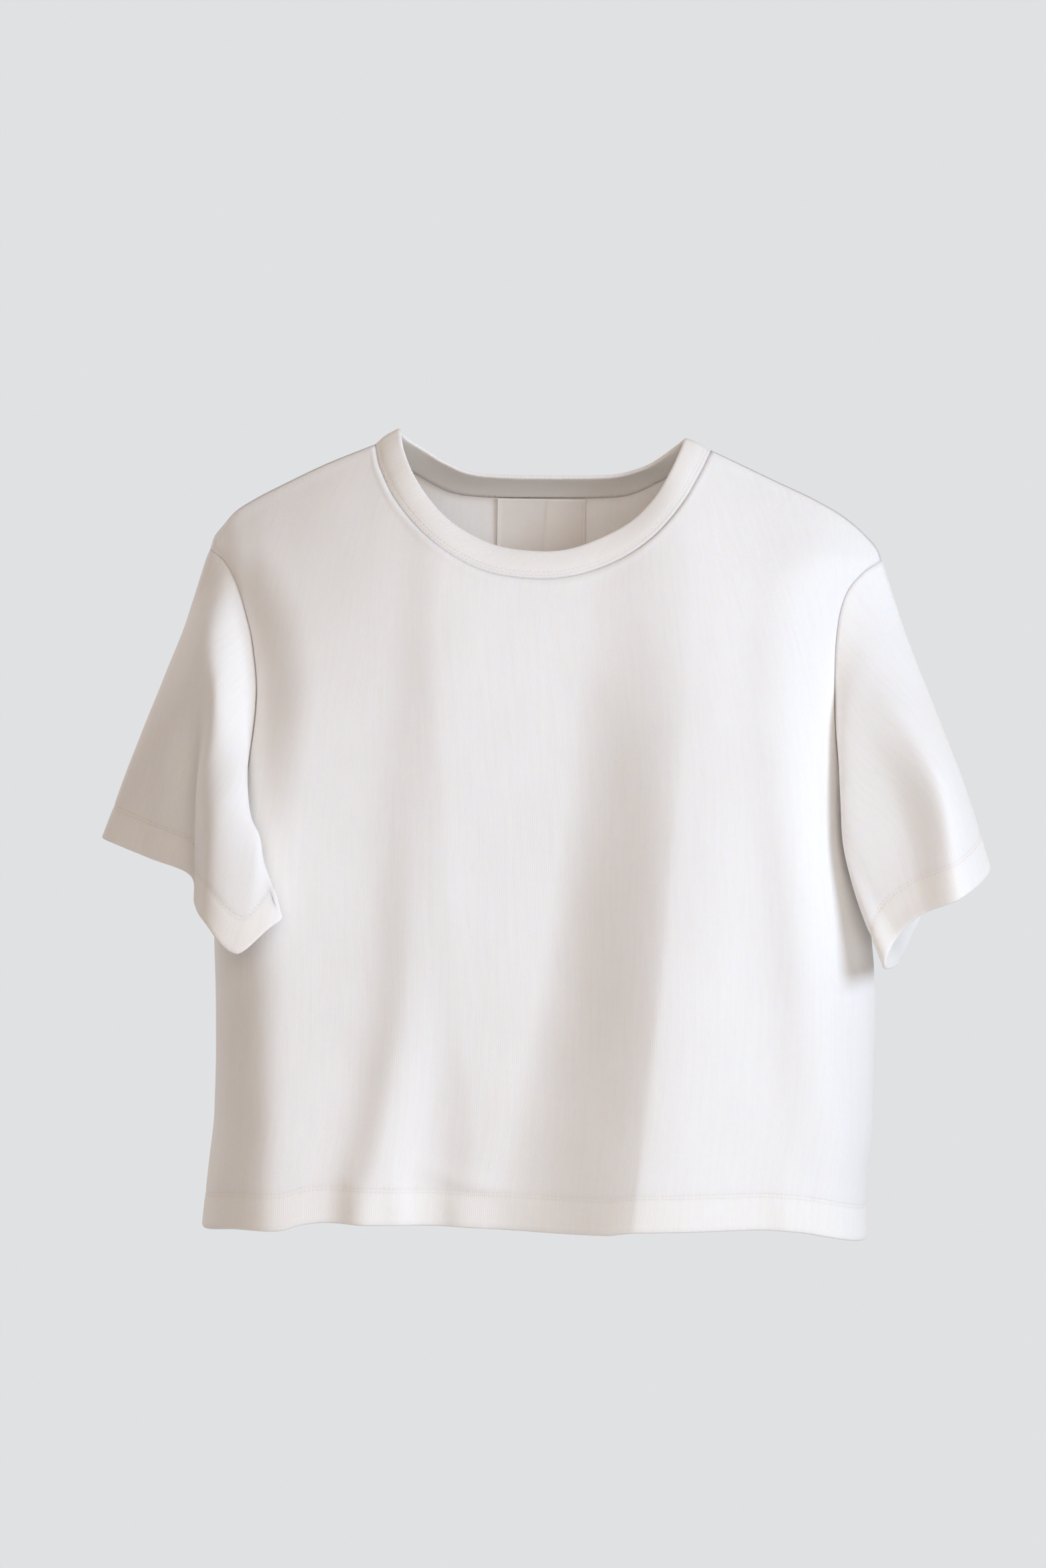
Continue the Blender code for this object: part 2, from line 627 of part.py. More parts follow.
def key_of(point):
    return tuple(np.round(point, 7))


def wall(name, finish, outer, inner, closed):
    """A closed solid between two grids of points."""
    mesh = bpy.data.meshes.new(name)
    shell = bmesh.new()
    rows, columns = outer.shape[:2]
    skins = [[[shell.verts.new(point) for point in row] for row in grid] for grid in (outer, inner)]
    out, back = skins
    for row in range(rows - 1):
        for column in range(columns if closed else columns - 1):
            after = (column + 1) % columns
            for skin in skins:
                corners = (row, column), (row, after), (row + 1, after), (row + 1, column)
                shell.faces.new([skin[r][c] for r, c in corners])
    for row in (0, rows - 1):
        for column in range(columns if closed else columns - 1):
            after = (column + 1) % columns
            shell.faces.new([out[row][column], out[row][after], back[row][after], back[row][column]])
    for column in () if closed else (0, columns - 1):
        for row in range(rows - 1):
            below, above = row, row + 1
            rim = out[below][column], out[above][column], back[above][column], back[below][column]
            shell.faces.new(rim)
    bmesh.ops.recalc_face_normals(shell, faces=shell.faces)
    shell.to_mesh(mesh)
    shell.free()
    mesh.shade_smooth()
    mesh.set_sharp_from_angle(angle=SMOOTH_ANGLE)
    piece = bpy.data.objects.new(name, mesh)
    piece.data.materials.append(material(finish))
    bpy.context.scene.collection.objects.link(piece)
    return piece


def material(finish):
    found = bpy.data.materials.get(finish)
    if found:
        return found
    colour, roughness = FINISHES[finish]
    made = bpy.data.materials.new(finish)
    made.use_nodes = True
    shader = made.node_tree.nodes["Principled BSDF"]
    shader.inputs["Base Color"].default_value = colour
    shader.inputs["Roughness"].default_value = roughness
    shader.inputs["Metallic"].default_value = 0.0
    made.diffuse_color = colour
    return made


def clear_scene():
    for thing in list(bpy.data.objects):
        bpy.data.objects.remove(thing)


Piece = namedtuple("Piece", "name finish grid facing closed thickness")


def garment():
    """The sewn pieces: grid, which way it faces, whether it closes and its wall at each row."""
    front, back = body_grids()
    panel_wall = np.full(len(front), CLOTH)
    panel_wall[:2] = HEM_WALL
    sleeve_wall = np.full(SLEEVE_ROWS + 2, CLOTH)
    sleeve_wall[-2:] = HEM_WALL
    left = sleeve_grid(front, back, 0, SLEEVE_LEFT)
    right = sleeve_grid(front, back, -1, SLEEVE_RIGHT)
    band = band_grid(front, back)
    band_wall = np.full(len(band), BAND_WALL)
    band_wall[0] = CLOTH
    return [
        Piece("front_panel", "jersey", front, 1, False, panel_wall),
        Piece("back_panel", "jersey", back, -1, False, panel_wall),
        Piece("sleeve_left", "jersey", left, -1, True, sleeve_wall),
        Piece("sleeve_right", "jersey", right, 1, True, sleeve_wall),
        Piece("neck_band", "rib", band, 1, True, band_wall),
    ]


def build():
    clear_scene()
    pieces = garment()
    for piece, (normals, shifts) in zip(pieces, sewn(pieces)):
        outer = piece.grid + shifts
        if piece.name == "neck_band":
            crown = np.sin(np.pi * np.linspace(0, 1, len(outer)))[:, None, None]
            outer = outer + normals * crown * BAND_CROWN
        inner = outer - normals * piece.thickness[:, None, None]
        wall(piece.name, piece.finish, outer, inner, piece.closed)
    face = label_grid()
    front_face = face - unit(point_sums(face, -1, False)) * LABEL_WALL
    wall("label", "label", face, front_face, False)


build()
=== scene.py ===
import json
import math

import bpy
import numpy as np
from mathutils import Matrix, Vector, noise
from mathutils.bvhtree import BVHTree

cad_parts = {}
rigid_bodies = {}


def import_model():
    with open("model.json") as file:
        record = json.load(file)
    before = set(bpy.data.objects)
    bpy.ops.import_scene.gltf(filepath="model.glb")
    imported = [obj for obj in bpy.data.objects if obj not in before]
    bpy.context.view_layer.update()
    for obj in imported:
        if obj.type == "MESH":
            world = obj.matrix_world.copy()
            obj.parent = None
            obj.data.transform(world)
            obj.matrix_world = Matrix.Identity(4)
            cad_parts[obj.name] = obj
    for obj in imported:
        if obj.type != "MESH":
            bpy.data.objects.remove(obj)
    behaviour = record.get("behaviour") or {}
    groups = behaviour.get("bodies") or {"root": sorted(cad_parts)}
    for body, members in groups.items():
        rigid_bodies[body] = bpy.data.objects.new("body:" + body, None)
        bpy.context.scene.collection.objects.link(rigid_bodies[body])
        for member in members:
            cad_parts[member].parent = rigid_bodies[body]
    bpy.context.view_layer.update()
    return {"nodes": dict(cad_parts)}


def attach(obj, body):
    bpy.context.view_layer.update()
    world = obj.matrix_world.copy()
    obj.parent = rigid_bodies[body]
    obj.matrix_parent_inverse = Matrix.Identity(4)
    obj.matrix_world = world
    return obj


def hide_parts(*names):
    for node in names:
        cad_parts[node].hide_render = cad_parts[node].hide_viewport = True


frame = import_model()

# A cropped crew-neck t-shirt in heavy off-white jersey, hung filled out with no wearer.
# Metres. The front faces -Y and the shoulder line is at the origin. Each piece is a fine grid
# over the form that its solid has: rows go up the cloth and columns go across it.

print("frame:", ", ".join(sorted(frame["nodes"])))

cloth = {
    "wall": 0.0016,
    "hemWall": 0.0026,
    "hemTurn": 0.020,
    "bandWall": 0.0026,
    "bandCrown": 0.0008,
    "seamGap": 0.00004,
    "seamDip": 0.00022,  # how deep the sewn edges pull in
    "seamDipWidth": 0.0016,
    "seamRidge": 0.00045,  # the turned allowances lift the cloth beside a seam
    "seamRidgeAt": 0.0045,
    "seamRidgeWidth": 0.0028,
    "unevenness": ((0.075, 0.0009), (0.032, 0.0005)),  # size and height of the waves
    "sleeveRoom": 0.004,  # how far a sleeve stays off the body
}
fine = {
    "shoulderColumns": 44,
    "neckColumns": 92,
    "hemRows": 7,
    "sideRows": 84,
    "armholeRows": 84,
    "sleeveRows": 62,
    "cuffRows": 8,
    "bandRows": 14,
    "samples": 1601,
}


# curves

def curveThrough(knots, values, at):  # smooth, never overshoots, level past its ends
    knots, values = np.asarray(knots, float), np.asarray(values, float)
    step = np.diff(knots)
    slope = np.diff(values) / step
    inner = np.zeros(len(knots))
    same = slope[:-1] * slope[1:] > 0
    weightA, weightB = 2 * step[1:] + step[:-1], step[1:] + 2 * step[:-1]
    blend = np.ones(len(slope) - 1)
    blend[same] = (weightA + weightB)[same] / (
        weightA[same] / slope[:-1][same] + weightB[same] / slope[1:][same]
    )
    inner[1:-1] = np.where(same, blend, 0.0)
    inner[0], inner[-1] = slope[0], slope[-1]
    at = np.clip(np.asarray(at, float), knots[0], knots[-1])
    cell = np.clip(np.searchsorted(knots, at) - 1, 0, len(step) - 1)
    t = (at - knots[cell]) / step[cell]
    return (
        values[cell] * (1 + 2 * t) * (1 - t) ** 2
        + step[cell] * inner[cell] * t * (1 - t) ** 2
        + values[cell + 1] * t**2 * (3 - 2 * t)
        + step[cell] * inner[cell + 1] * t**2 * (t - 1)
    )


def splineLine(points, steps=24):
    points = np.asarray(points, float)
    ends = np.vstack([2 * points[0] - points[1], points, 2 * points[-1] - points[-2]])
    t = np.linspace(0, 1, steps, endpoint=False)[:, None]
    parts = []
    for i in range(len(points) - 1):
        a, b, c, d = ends[i : i + 4]
        bend = (2 * a - 5 * b + 4 * c - d) * t**2 + (3 * b - a - 3 * c + d) * t**3
        parts.append(0.5 * (2 * b + (c - a) * t + bend))
    return np.vstack(parts + [points[-1:]])


def lengthsAlong(points):
    return np.concatenate([[0.0], np.cumsum(np.linalg.norm(np.diff(points, axis=0), axis=1))])


def pickedFrom(points, distances):
    along = lengthsAlong(points)
    return np.stack([np.interp(distances, along, points[:, k]) for k in range(3)], axis=1)


def evenPoints(points, count):
    return pickedFrom(points, np.linspace(0, lengthsAlong(points)[-1], count))


def rowDistances(grid):  # how far each point is from the first and the last row
    steps = np.linalg.norm(np.diff(grid, axis=0), axis=2)
    up = np.concatenate([np.zeros((1, grid.shape[1])), np.cumsum(steps, axis=0)])
    return up, up[-1] - up


def unit(vectors):
    return vectors / np.maximum(np.linalg.norm(vectors, axis=-1, keepdims=True), 1e-12)


# the cut of the body, as the solids have it

neckHalf = 0.1046
armpit, shoulderTip = -0.258, -0.067
armholeFlare, flareRise = 0.0115, 0.070
chestFlat = 0.510
bodySides = (  # height, left, right
    (-0.486, -0.203, 0.210),
    (-0.455, -0.200, 0.209),
    (-0.415, -0.196, 0.212),
    (-0.350, -0.197, 0.212),
    (-0.300, -0.199, 0.209),
    (armpit, -0.195, 0.203),
    (-0.238, -0.188, 0.196),
    (-0.200, -0.176, 0.184),
    (-0.158, -0.172, 0.180),
    (-0.125, -0.176, 0.181),
    (-0.107, -0.181, 0.183),
    (-0.090, -0.187, 0.188),
    (-0.075, -0.196, 0.200),
    (shoulderTip, -0.206, 0.212),
)
shoulderLeft = (  # out, height
    (neckHalf, 0.0),
    (0.1355, -0.0130),
    (0.1606, -0.0255),
    (0.1800, -0.0360),
    (0.1910, -0.0435),
    (0.1985, -0.0525),
    (0.2040, -0.0600),
    (0.2060, shoulderTip),
)
shoulderRight = (
    (neckHalf, 0.0),
    (0.1454, -0.0185),
    (0.1707, -0.0300),
    (0.1890, -0.0405),
    (0.2035, -0.0530),
    (0.2100, -0.0610),
    (0.2120, shoulderTip),
)
frontPanel = {
    "side": -1,
    "depth": 0.066,
    "fall": 0.180,
    "shoulderPower": 1.0,
    "corners": (0.048, 0.062),
    "neck": (
        (-neckHalf, 0.0),
        (-0.1030, -0.0089),
        (-0.1001, -0.0178),
        (-0.0920, -0.0343),
        (-0.0799, -0.0503),
        (-0.0660, -0.0636),
        (-0.0489, -0.0748),
        (-0.0313, -0.0820),
        (-0.0090, -0.0852),
        (0.0120, -0.0844),
        (0.0331, -0.0789),
        (0.0531, -0.0690),
        (0.0707, -0.0547),
        (0.0863, -0.0350),
        (0.0972, -0.0158),
        (neckHalf, 0.0),
    ),
    "hem": (
        (-0.203, -0.4860),
        (-0.190, -0.4825),
        (-0.176, -0.4800),
        (-0.148, -0.4785),
        (-0.136, -0.4750),
        (-0.120, -0.4733),
        (-0.054, -0.4750),
        (0.005, -0.4760),
        (0.043, -0.4748),
        (0.062, -0.4720),
        (0.130, -0.4718),
        (0.155, -0.4735),
        (0.180, -0.4785),
        (0.210, -0.4860),
    ),
    # x at the hem, middle and chest, push at the same, width to the left and right, shape
    "folds": (
        (-0.150, -0.160, -0.150, 0.010, 0.003, 0.000, 0.026, 0.046, "bell"),  # left roll
        (-0.098, -0.073, -0.075, 0.012, 0.006, 0.000, 0.017, 0.024, "bell"),  # forked ridge
        (-0.028, -0.045, -0.062, 0.005, 0.004, 0.004, 0.018, 0.055, "bell"),  # chest ridge
        (0.060, 0.077, 0.090, 0.039, 0.031, 0.010, 0.064, 0.085, "ramp"),  # main fold
        (0.199, 0.165, 0.157, 0.007, 0.007, 0.006, 0.022, 0.024, "bell"),  # right ridge
    ),
    # the soft creases: points x, z; push out, half width to the left and right of the line
    "creases": (
        (((-0.192, -0.048), (-0.188, -0.066), (-0.184, -0.088)), 0.0018, 0.0045, 0.008),
        (((-0.172, -0.040), (-0.171, -0.062), (-0.168, -0.100)), 0.0014, 0.006, 0.010),
        (((0.176, -0.040), (0.172, -0.060), (0.166, -0.080)), 0.0018, 0.008, 0.0045),
        (((-0.071, -0.440), (-0.045, -0.448), (-0.004, -0.458)), 0.0014, 0.005, 0.008),
        (((-0.106, -0.440), (-0.105, -0.486)), 0.0022, 0.008, 0.010),
        (((-0.080, -0.446), (-0.078, -0.486)), 0.0020, 0.007, 0.008),
        (((-0.044, -0.452), (-0.043, -0.486)), 0.0016, 0.007, 0.008),
        (((0.150, -0.440), (0.156, -0.486)), 0.0020, 0.010, 0.010),
    ),
}
backPanel = {
    "side": 1,
    "depth": 0.056,
    "fall": 0.120,
    "shoulderPower": 0.5,
    "corners": (0.046, 0.052),
    "neck": (
        (-neckHalf, 0.0),
        (-0.0950, -0.0070),
        (-0.0808, -0.0135),
        (-0.0604, -0.0236),
        (-0.0408, -0.0267),
        (0.0, -0.0270),
        (0.0411, -0.0260),
        (0.0591, -0.0230),
        (0.0800, -0.0128),
        (0.0955, -0.0065),
        (neckHalf, 0.0),
    ),
    "hem": (
        (-0.203, -0.4860),
        (-0.170, -0.4822),
        (-0.100, -0.4806),
        (0.0, -0.4800),
        (0.100, -0.4808),
        (0.175, -0.4825),
        (0.210, -0.4860),
    ),
    "folds": (
        (-0.118, -0.106, -0.098, 0.013, 0.009, 0.003, 0.030, 0.034, "bell"),
        (-0.030, -0.024, -0.012, 0.008, 0.005, 0.001, 0.034, 0.028, "bell"),
        (0.074, 0.064, 0.060, 0.015, 0.010, 0.002, 0.030, 0.038, "bell"),
        (0.160, 0.150, 0.146, 0.009, 0.006, 0.002, 0.024, 0.026, "bell"),
    ),
    "creases": (
        (((-0.190, -0.048), (-0.186, -0.070), (-0.178, -0.104)), 0.0018, 0.006, 0.009),
        (((0.176, -0.042), (0.172, -0.066), (0.160, -0.110)), 0.0020, 0.009, 0.006),
        (((-0.150, -0.260), (-0.120, -0.310), (-0.070, -0.340)), 0.0016, 0.010, 0.014),
        (((0.150, -0.250), (0.110, -0.300), (0.090, -0.380)), 0.0018, 0.014, 0.010),
        (((-0.066, -0.430), (-0.064, -0.486)), 0.0020, 0.010, 0.010),
        (((0.020, -0.420), (0.022, -0.486)), 0.0018, 0.010, 0.012),
    ),
}
foldHeights = (-0.480, -0.300, -0.120)
sidePull, topFade, neckSpread = 7, 2.5, 0.042
flankWidth = (0.088, 0.070, 0.064)
neckArch = {"width": 0.050, "slope": 0.43}
flankSharp = (0.40, 0.25, 0.10)  # how sharp the main fold's crest is at the fold heights


def seamX(height, side):
    heights = [level[0] for level in bodySides]
    return curveThrough(heights, [level[1 if side < 0 else 2] for level in bodySides], height)


def outerX(height, side):
    above = np.clip((height - armpit) / flareRise, 0, 1)
    return seamX(height, side) + side * armholeFlare * above**1.5 * (2.5 - 1.5 * above)


def shoulderHeight(x):
    left = curveThrough([p[0] for p in shoulderLeft], [p[1] for p in shoulderLeft], -x)
    right = curveThrough([p[0] for p in shoulderRight], [p[1] for p in shoulderRight], x)
    return np.where(x < 0, left, right)


def ridgeHeight(x):  # the shoulder line, carried over the neck in a soft arch
    inside = np.clip((neckHalf - np.abs(x)) / neckArch["width"], 0, 1)
    return shoulderHeight(x) + neckArch["slope"] * neckArch["width"] * inside * (1 - inside / 2)


def topHeight(panel, x):
    neck = splineLine(panel["neck"])
    inside = np.interp(x, neck[:, 0], neck[:, 1])
    return np.where(np.abs(x) < neckHalf, inside, shoulderHeight(x))


def rounded(distance, width):
    share = np.clip(distance / width, 0, 1)
    return np.sqrt(share * (2 - share))


def foldPush(fold, x, z):
    crest = curveThrough(foldHeights, fold[:3], z)
    push = curveThrough(foldHeights, fold[3:6], z)
    away = np.where(x < crest, (crest - x) / fold[6], (x - crest) / fold[7])
    bell = np.exp(-(away**2))
    if fold[8] == "bell":
        return push * bell
    sharp = curveThrough(foldHeights, flankSharp, z)
    down = np.clip((crest - x) / curveThrough(foldHeights, flankWidth, z), 0, 1)
    flank = (1 - sharp) * (1 - down**2 * (3 - 2 * down)) + sharp * (1 - down) ** 2
    return push * np.where(x < crest, flank, bell)


def creasePush(crease, x, z):  # a soft ridge along a short line, fading at both ends
    line, push, left, right = crease
    line = np.asarray(line)
    along = np.concatenate([[0.0], np.cumsum(np.hypot(*np.diff(line, axis=0).T))])
    best = np.full(np.shape(x), 1e9)
    share = np.zeros(np.shape(x))
    turn = np.ones(np.shape(x))
    for i in range(len(line) - 1):
        a, d = line[i], line[i + 1] - line[i]
        t = np.clip(((x - a[0]) * d[0] + (z - a[1]) * d[1]) / (d @ d), 0, 1)
        dx, dz = x - a[0] - t * d[0], z - a[1] - t * d[1]
        far = np.hypot(dx, dz)
        near = far < best
        best = np.where(near, far, best)
        share = np.where(near, (along[i] + t * (along[i + 1] - along[i])) / along[-1], share)
        turn = np.where(near, np.sign(d[0] * dz - d[1] * dx), turn)
    width = np.where(turn < 0, left, right)
    ends = np.sin(np.pi * np.clip(share, 0.04, 0.96)) ** 0.6
    return push * np.exp(-((best / width) ** 2)) * ends


def skinY(panel, x, z, creased=True):
    below = np.clip((ridgeHeight(x) - z) / panel["fall"], 0, 1)
    top = (below * (2 - below)) ** panel["shoulderPower"]
    left = rounded(x - outerX(z, -1), panel["corners"][0])
    right = rounded(outerX(z, 1) - x, panel["corners"][1])
    depth = panel["depth"] + sum(foldPush(fold, x, z) for fold in panel["folds"])
    if creased:
        depth = depth + sum(creasePush(crease, x, z) for crease in panel["creases"])
    return panel["side"] * depth * top * left * right


def neckEnds():
    left, right = bodySides[-1][1:]
    return (np.array([-neckHalf, neckHalf]) - left) / (right - left)


def fineRow(panel, share):
    low, tips = bodySides[0], bodySides[-1]
    height = low[0] + share * (tips[0] - low[0])
    even = (1 - np.cos(np.pi * np.linspace(0, 1, fine["samples"]))) / 2
    across = np.sort(np.append(even, neckEnds()))
    topX = tips[1] + (tips[2] - tips[1]) * across
    spread = neckSpread * np.sqrt(1 - share) * share**6
    leftNeck, rightNeck = (np.exp(-(((across - end) / 0.1) ** 2)) for end in neckEnds())
    x = (
        topX
        + (seamX(height, -1) - tips[1]) * (1 - across) ** sidePull
        + (seamX(height, 1) - tips[2]) * across**sidePull
        + spread * (rightNeck - leftNeck)
    )
    hemX, hemZ = zip(*panel["hem"])
    hem = curveThrough(hemX, hemZ, low[1] + (low[2] - low[1]) * across) - low[0]
    z = height + hem * (1 - share) + (topHeight(panel, topX) - tips[0]) * share**topFade
    return np.stack([x, skinY(panel, x, z), z], axis=1), np.searchsorted(across, neckEnds())


def rowShares():
    low, span = bodySides[0][0], shoulderTip - bodySides[0][0]
    turn = cloth["hemTurn"] / span
    heights = np.linspace(armpit, shoulderTip, fine["samples"])
    x = seamX(heights, -1)
    seam = np.stack([x, skinY(frontPanel, x, heights, False), heights], axis=1)
    mixed = (evenPoints(seam, fine["armholeRows"] + 1)[:, 2] - low) / span
    plain = np.linspace(mixed[0], mixed[-1], fine["armholeRows"] + 1)
    hem = np.linspace(0, turn, fine["hemRows"] + 1)
    side = np.linspace(turn, mixed[0], fine["sideRows"] + 1)
    return np.concatenate([hem, side[1:], (0.5 * mixed + 0.5 * plain)[1:]])


def panelGrid(panel, shares):
    lowShare = (chestFlat / 2 - neckHalf) / chestFlat
    top, ends = fineRow(panel, 1.0)
    neckShares = lengthsAlong(top)[ends] / lengthsAlong(top)[-1]
    side, neck = fine["shoulderColumns"], fine["neckColumns"]
    rows = []
    for share in shares:
        points, _ = fineRow(panel, share)
        start = lowShare * (1 - share) + neckShares[0] * share
        end = (1 - lowShare) * (1 - share) + neckShares[1] * share
        columns = np.concatenate([
            np.linspace(0, start, side + 1),
            np.linspace(start, end, neck + 1)[1:],
            np.linspace(end, 1, side + 1)[1:],
        ])
        rows.append(pickedFrom(points, columns * lengthsAlong(points)[-1]))
    return np.array(rows)


def bodyGrids():
    shares = rowShares()
    front, back = panelGrid(frontPanel, shares), panelGrid(backPanel, shares)
    armpitRow, side = fine["hemRows"] + fine["sideRows"], fine["shoulderColumns"]
    for column in (0, -1):
        back[: armpitRow + 1, column] = front[: armpitRow + 1, column]
    back[-1, : side + 1] = front[-1, : side + 1]
    back[-1, -side - 1 :] = front[-1, -side - 1 :]
    return front, back


front, back = bodyGrids()
print("body:", front.shape, back.shape)

# sleeves

# A sleeve's lengthwise lines: share of the way round from the shoulder's tip, then points near
# the armhole, halfway and at the cuff.
sleeveLeft = (
    (0.00, (-0.222, 0.002, -0.117), (-0.247, 0.003, -0.183), (-0.271, 0.006, -0.247)),
    (0.08, (-0.208, -0.034, -0.122), (-0.230, -0.024, -0.190), (-0.240, -0.020, -0.258)),
    (0.17, (-0.197, -0.055, -0.150), (-0.208, -0.042, -0.196), (-0.211, -0.044, -0.268)),
    (0.25, (-0.189, -0.068, -0.188), (-0.203, -0.070, -0.212), (-0.205, -0.068, -0.285)),
    (0.33, (-0.176, -0.076, -0.212), (-0.190, -0.090, -0.232), (-0.197, -0.090, -0.294)),
    (0.42, (-0.170, -0.072, -0.238), (-0.166, -0.090, -0.249), (-0.176, -0.098, -0.312)),
    (0.46, (-0.171, -0.059, -0.251), (-0.162, -0.085, -0.260), (-0.158, -0.095, -0.297)),
    (0.50, (-0.189, -0.034, -0.264), (-0.159, -0.085, -0.272), (-0.150, -0.089, -0.291)),
    (0.54, (-0.196, -0.012, -0.266), (-0.163, -0.079, -0.278), (-0.156, -0.084, -0.289)),
    (0.60, (-0.205, 0.015, -0.258), (-0.195, -0.044, -0.282), (-0.182, -0.061, -0.288)),
    (0.68, (-0.211, 0.038, -0.234), (-0.206, -0.001, -0.274), (-0.201, -0.025, -0.286)),
    (0.77, (-0.216, 0.047, -0.203), (-0.221, 0.035, -0.243), (-0.208, 0.013, -0.275)),
    (0.86, (-0.216, 0.044, -0.158), (-0.234, 0.040, -0.212), (-0.222, 0.030, -0.263)),
    (0.93, (-0.219, 0.026, -0.134), (-0.242, 0.027, -0.196), (-0.246, 0.029, -0.255)),
)
sleeveRight = (
    (0.00, (0.228, 0.000, -0.112), (0.257, 0.000, -0.185), (0.281, 0.000, -0.252)),
    (0.08, (0.214, -0.026, -0.122), (0.252, -0.048, -0.192), (0.273, -0.056, -0.259)),
    (0.17, (0.200, -0.044, -0.140), (0.238, -0.080, -0.201), (0.252, -0.092, -0.272)),
    (0.25, (0.187, -0.056, -0.170), (0.214, -0.072, -0.215), (0.230, -0.084, -0.282)),
    (0.33, (0.182, -0.060, -0.205), (0.188, -0.071, -0.240), (0.216, -0.078, -0.296)),
    (0.42, (0.188, -0.050, -0.245), (0.192, -0.066, -0.272), (0.208, -0.076, -0.315)),
    (0.50, (0.209, -0.018, -0.272), (0.211, -0.036, -0.292), (0.219, -0.038, -0.316)),
    (0.60, (0.216, 0.018, -0.262), (0.220, 0.014, -0.288), (0.230, 0.014, -0.311)),
    (0.68, (0.210, 0.042, -0.225), (0.223, 0.044, -0.262), (0.241, 0.048, -0.299)),
    (0.77, (0.207, 0.054, -0.180), (0.229, 0.060, -0.232), (0.251, 0.066, -0.284)),
    (0.86, (0.214, 0.046, -0.145), (0.241, 0.056, -0.208), (0.266, 0.060, -0.269)),
    (0.93, (0.222, 0.024, -0.122), (0.252, 0.034, -0.192), (0.278, 0.036, -0.257)),
)


def ringThrough(shares, points, at):
    knots = np.concatenate([[s - 1 for s in shares[-2:]], shares, [s + 1 for s in shares[:3]]])
    points = np.array(points)
    points = np.vstack([points[-2:], points, points[:3]])
    i = np.searchsorted(knots, at, side="right") - 1
    gap = (knots[i + 1] - knots[i])[:, None]
    t = (at - knots[i])[:, None] / gap
    slopeA = (points[i + 1] - points[i - 1]) / (knots[i + 1] - knots[i - 1])[:, None] * gap
    slopeB = (points[i + 2] - points[i]) / (knots[i + 2] - knots[i])[:, None] * gap
    return (
        points[i] * (1 + 2 * t) * (1 - t) ** 2
        + slopeA * t * (1 - t) ** 2
        + points[i + 1] * t**2 * (3 - 2 * t)
        + slopeB * t**2 * (t - 1)
    )


def quadsOf(rows, columns, closed):
    across = np.arange(columns if closed else columns - 1)
    r, c = (part.ravel() for part in np.meshgrid(np.arange(rows - 1), across, indexing="ij"))
    after = (c + 1) % columns
    low, high = r * columns, (r + 1) * columns
    return np.stack([low + c, low + after, high + after, high + c], 1)


def treeOf(grid, facing):
    quads = quadsOf(grid.shape[0], grid.shape[1], False)
    if facing < 0:
        quads = quads[:, ::-1]
    return BVHTree.FromPolygons([Vector(p) for p in grid.reshape(-1, 3)], quads.tolist())


def clearance(grid, trees):  # how far each point has to move to keep its room from the body
    moves = np.zeros_like(grid)
    for row, ring in enumerate(grid):
        for column, point in enumerate(ring):
            for tree in trees:
                spot, normal, _, far = tree.find_nearest(Vector(point))
                inset = min(spot.x - seamX(spot.z, -1), seamX(spot.z, 1) - spot.x)
                short = cloth["sleeveRoom"] - (Vector(point) - spot).dot(normal)
                if far < 0.04 and short > 0 and inset > 0:
                    moves[row, column] += np.array(normal) * short * min(inset / 0.008, 1)
    return moves


def smoothedMoves(moves, rounds):
    for _ in range(rounds):
        around = (np.roll(moves, 1, axis=1) + 2 * moves + np.roll(moves, -1, axis=1)) / 4
        along = np.pad(around, ((1, 1), (0, 0), (0, 0)), mode="edge")
        moves = (along[:-2] + 2 * along[1:-1] + along[2:]) / 4
    return moves


def sleeveGrid(column, lines, trees):
    armpitRow = fine["hemRows"] + fine["sideRows"]
    armhole = np.vstack([front[armpitRow:, column][::-1], back[armpitRow + 1 : -1, column]])
    shares = np.arange(len(armhole)) / len(armhole)
    known = [line[0] for line in lines]
    rings = [ringThrough(known, [line[k] for line in lines], shares) for k in (1, 2, 3)]
    turn = np.linspace(cloth["hemTurn"], 0, fine["cuffRows"] + 1)
    grid = []
    for start, head, middle, cuff in zip(armhole, *rings):
        line = splineLine([start, head, middle, cuff], 40)
        length = lengthsAlong(line)[-1]
        plain = np.linspace(0, length - cloth["hemTurn"], fine["sleeveRows"])[:-1]
        grid.append(pickedFrom(line, np.append(plain, length - turn)))
    grid = np.array(grid).transpose(1, 0, 2)
    fade = np.clip(rowDistances(grid)[0] / 0.014, 0, 1)[:, :, None]
    for rounds in (6, 2):
        grid = grid + smoothedMoves(clearance(grid, trees), rounds) * fade
    return grid


trees = (treeOf(front, 1), treeOf(back, -1))
leftSleeve = sleeveGrid(0, sleeveLeft, trees)
rightSleeve = sleeveGrid(-1, sleeveRight, trees)
print("sleeves:", leftSleeve.shape)

# neck band

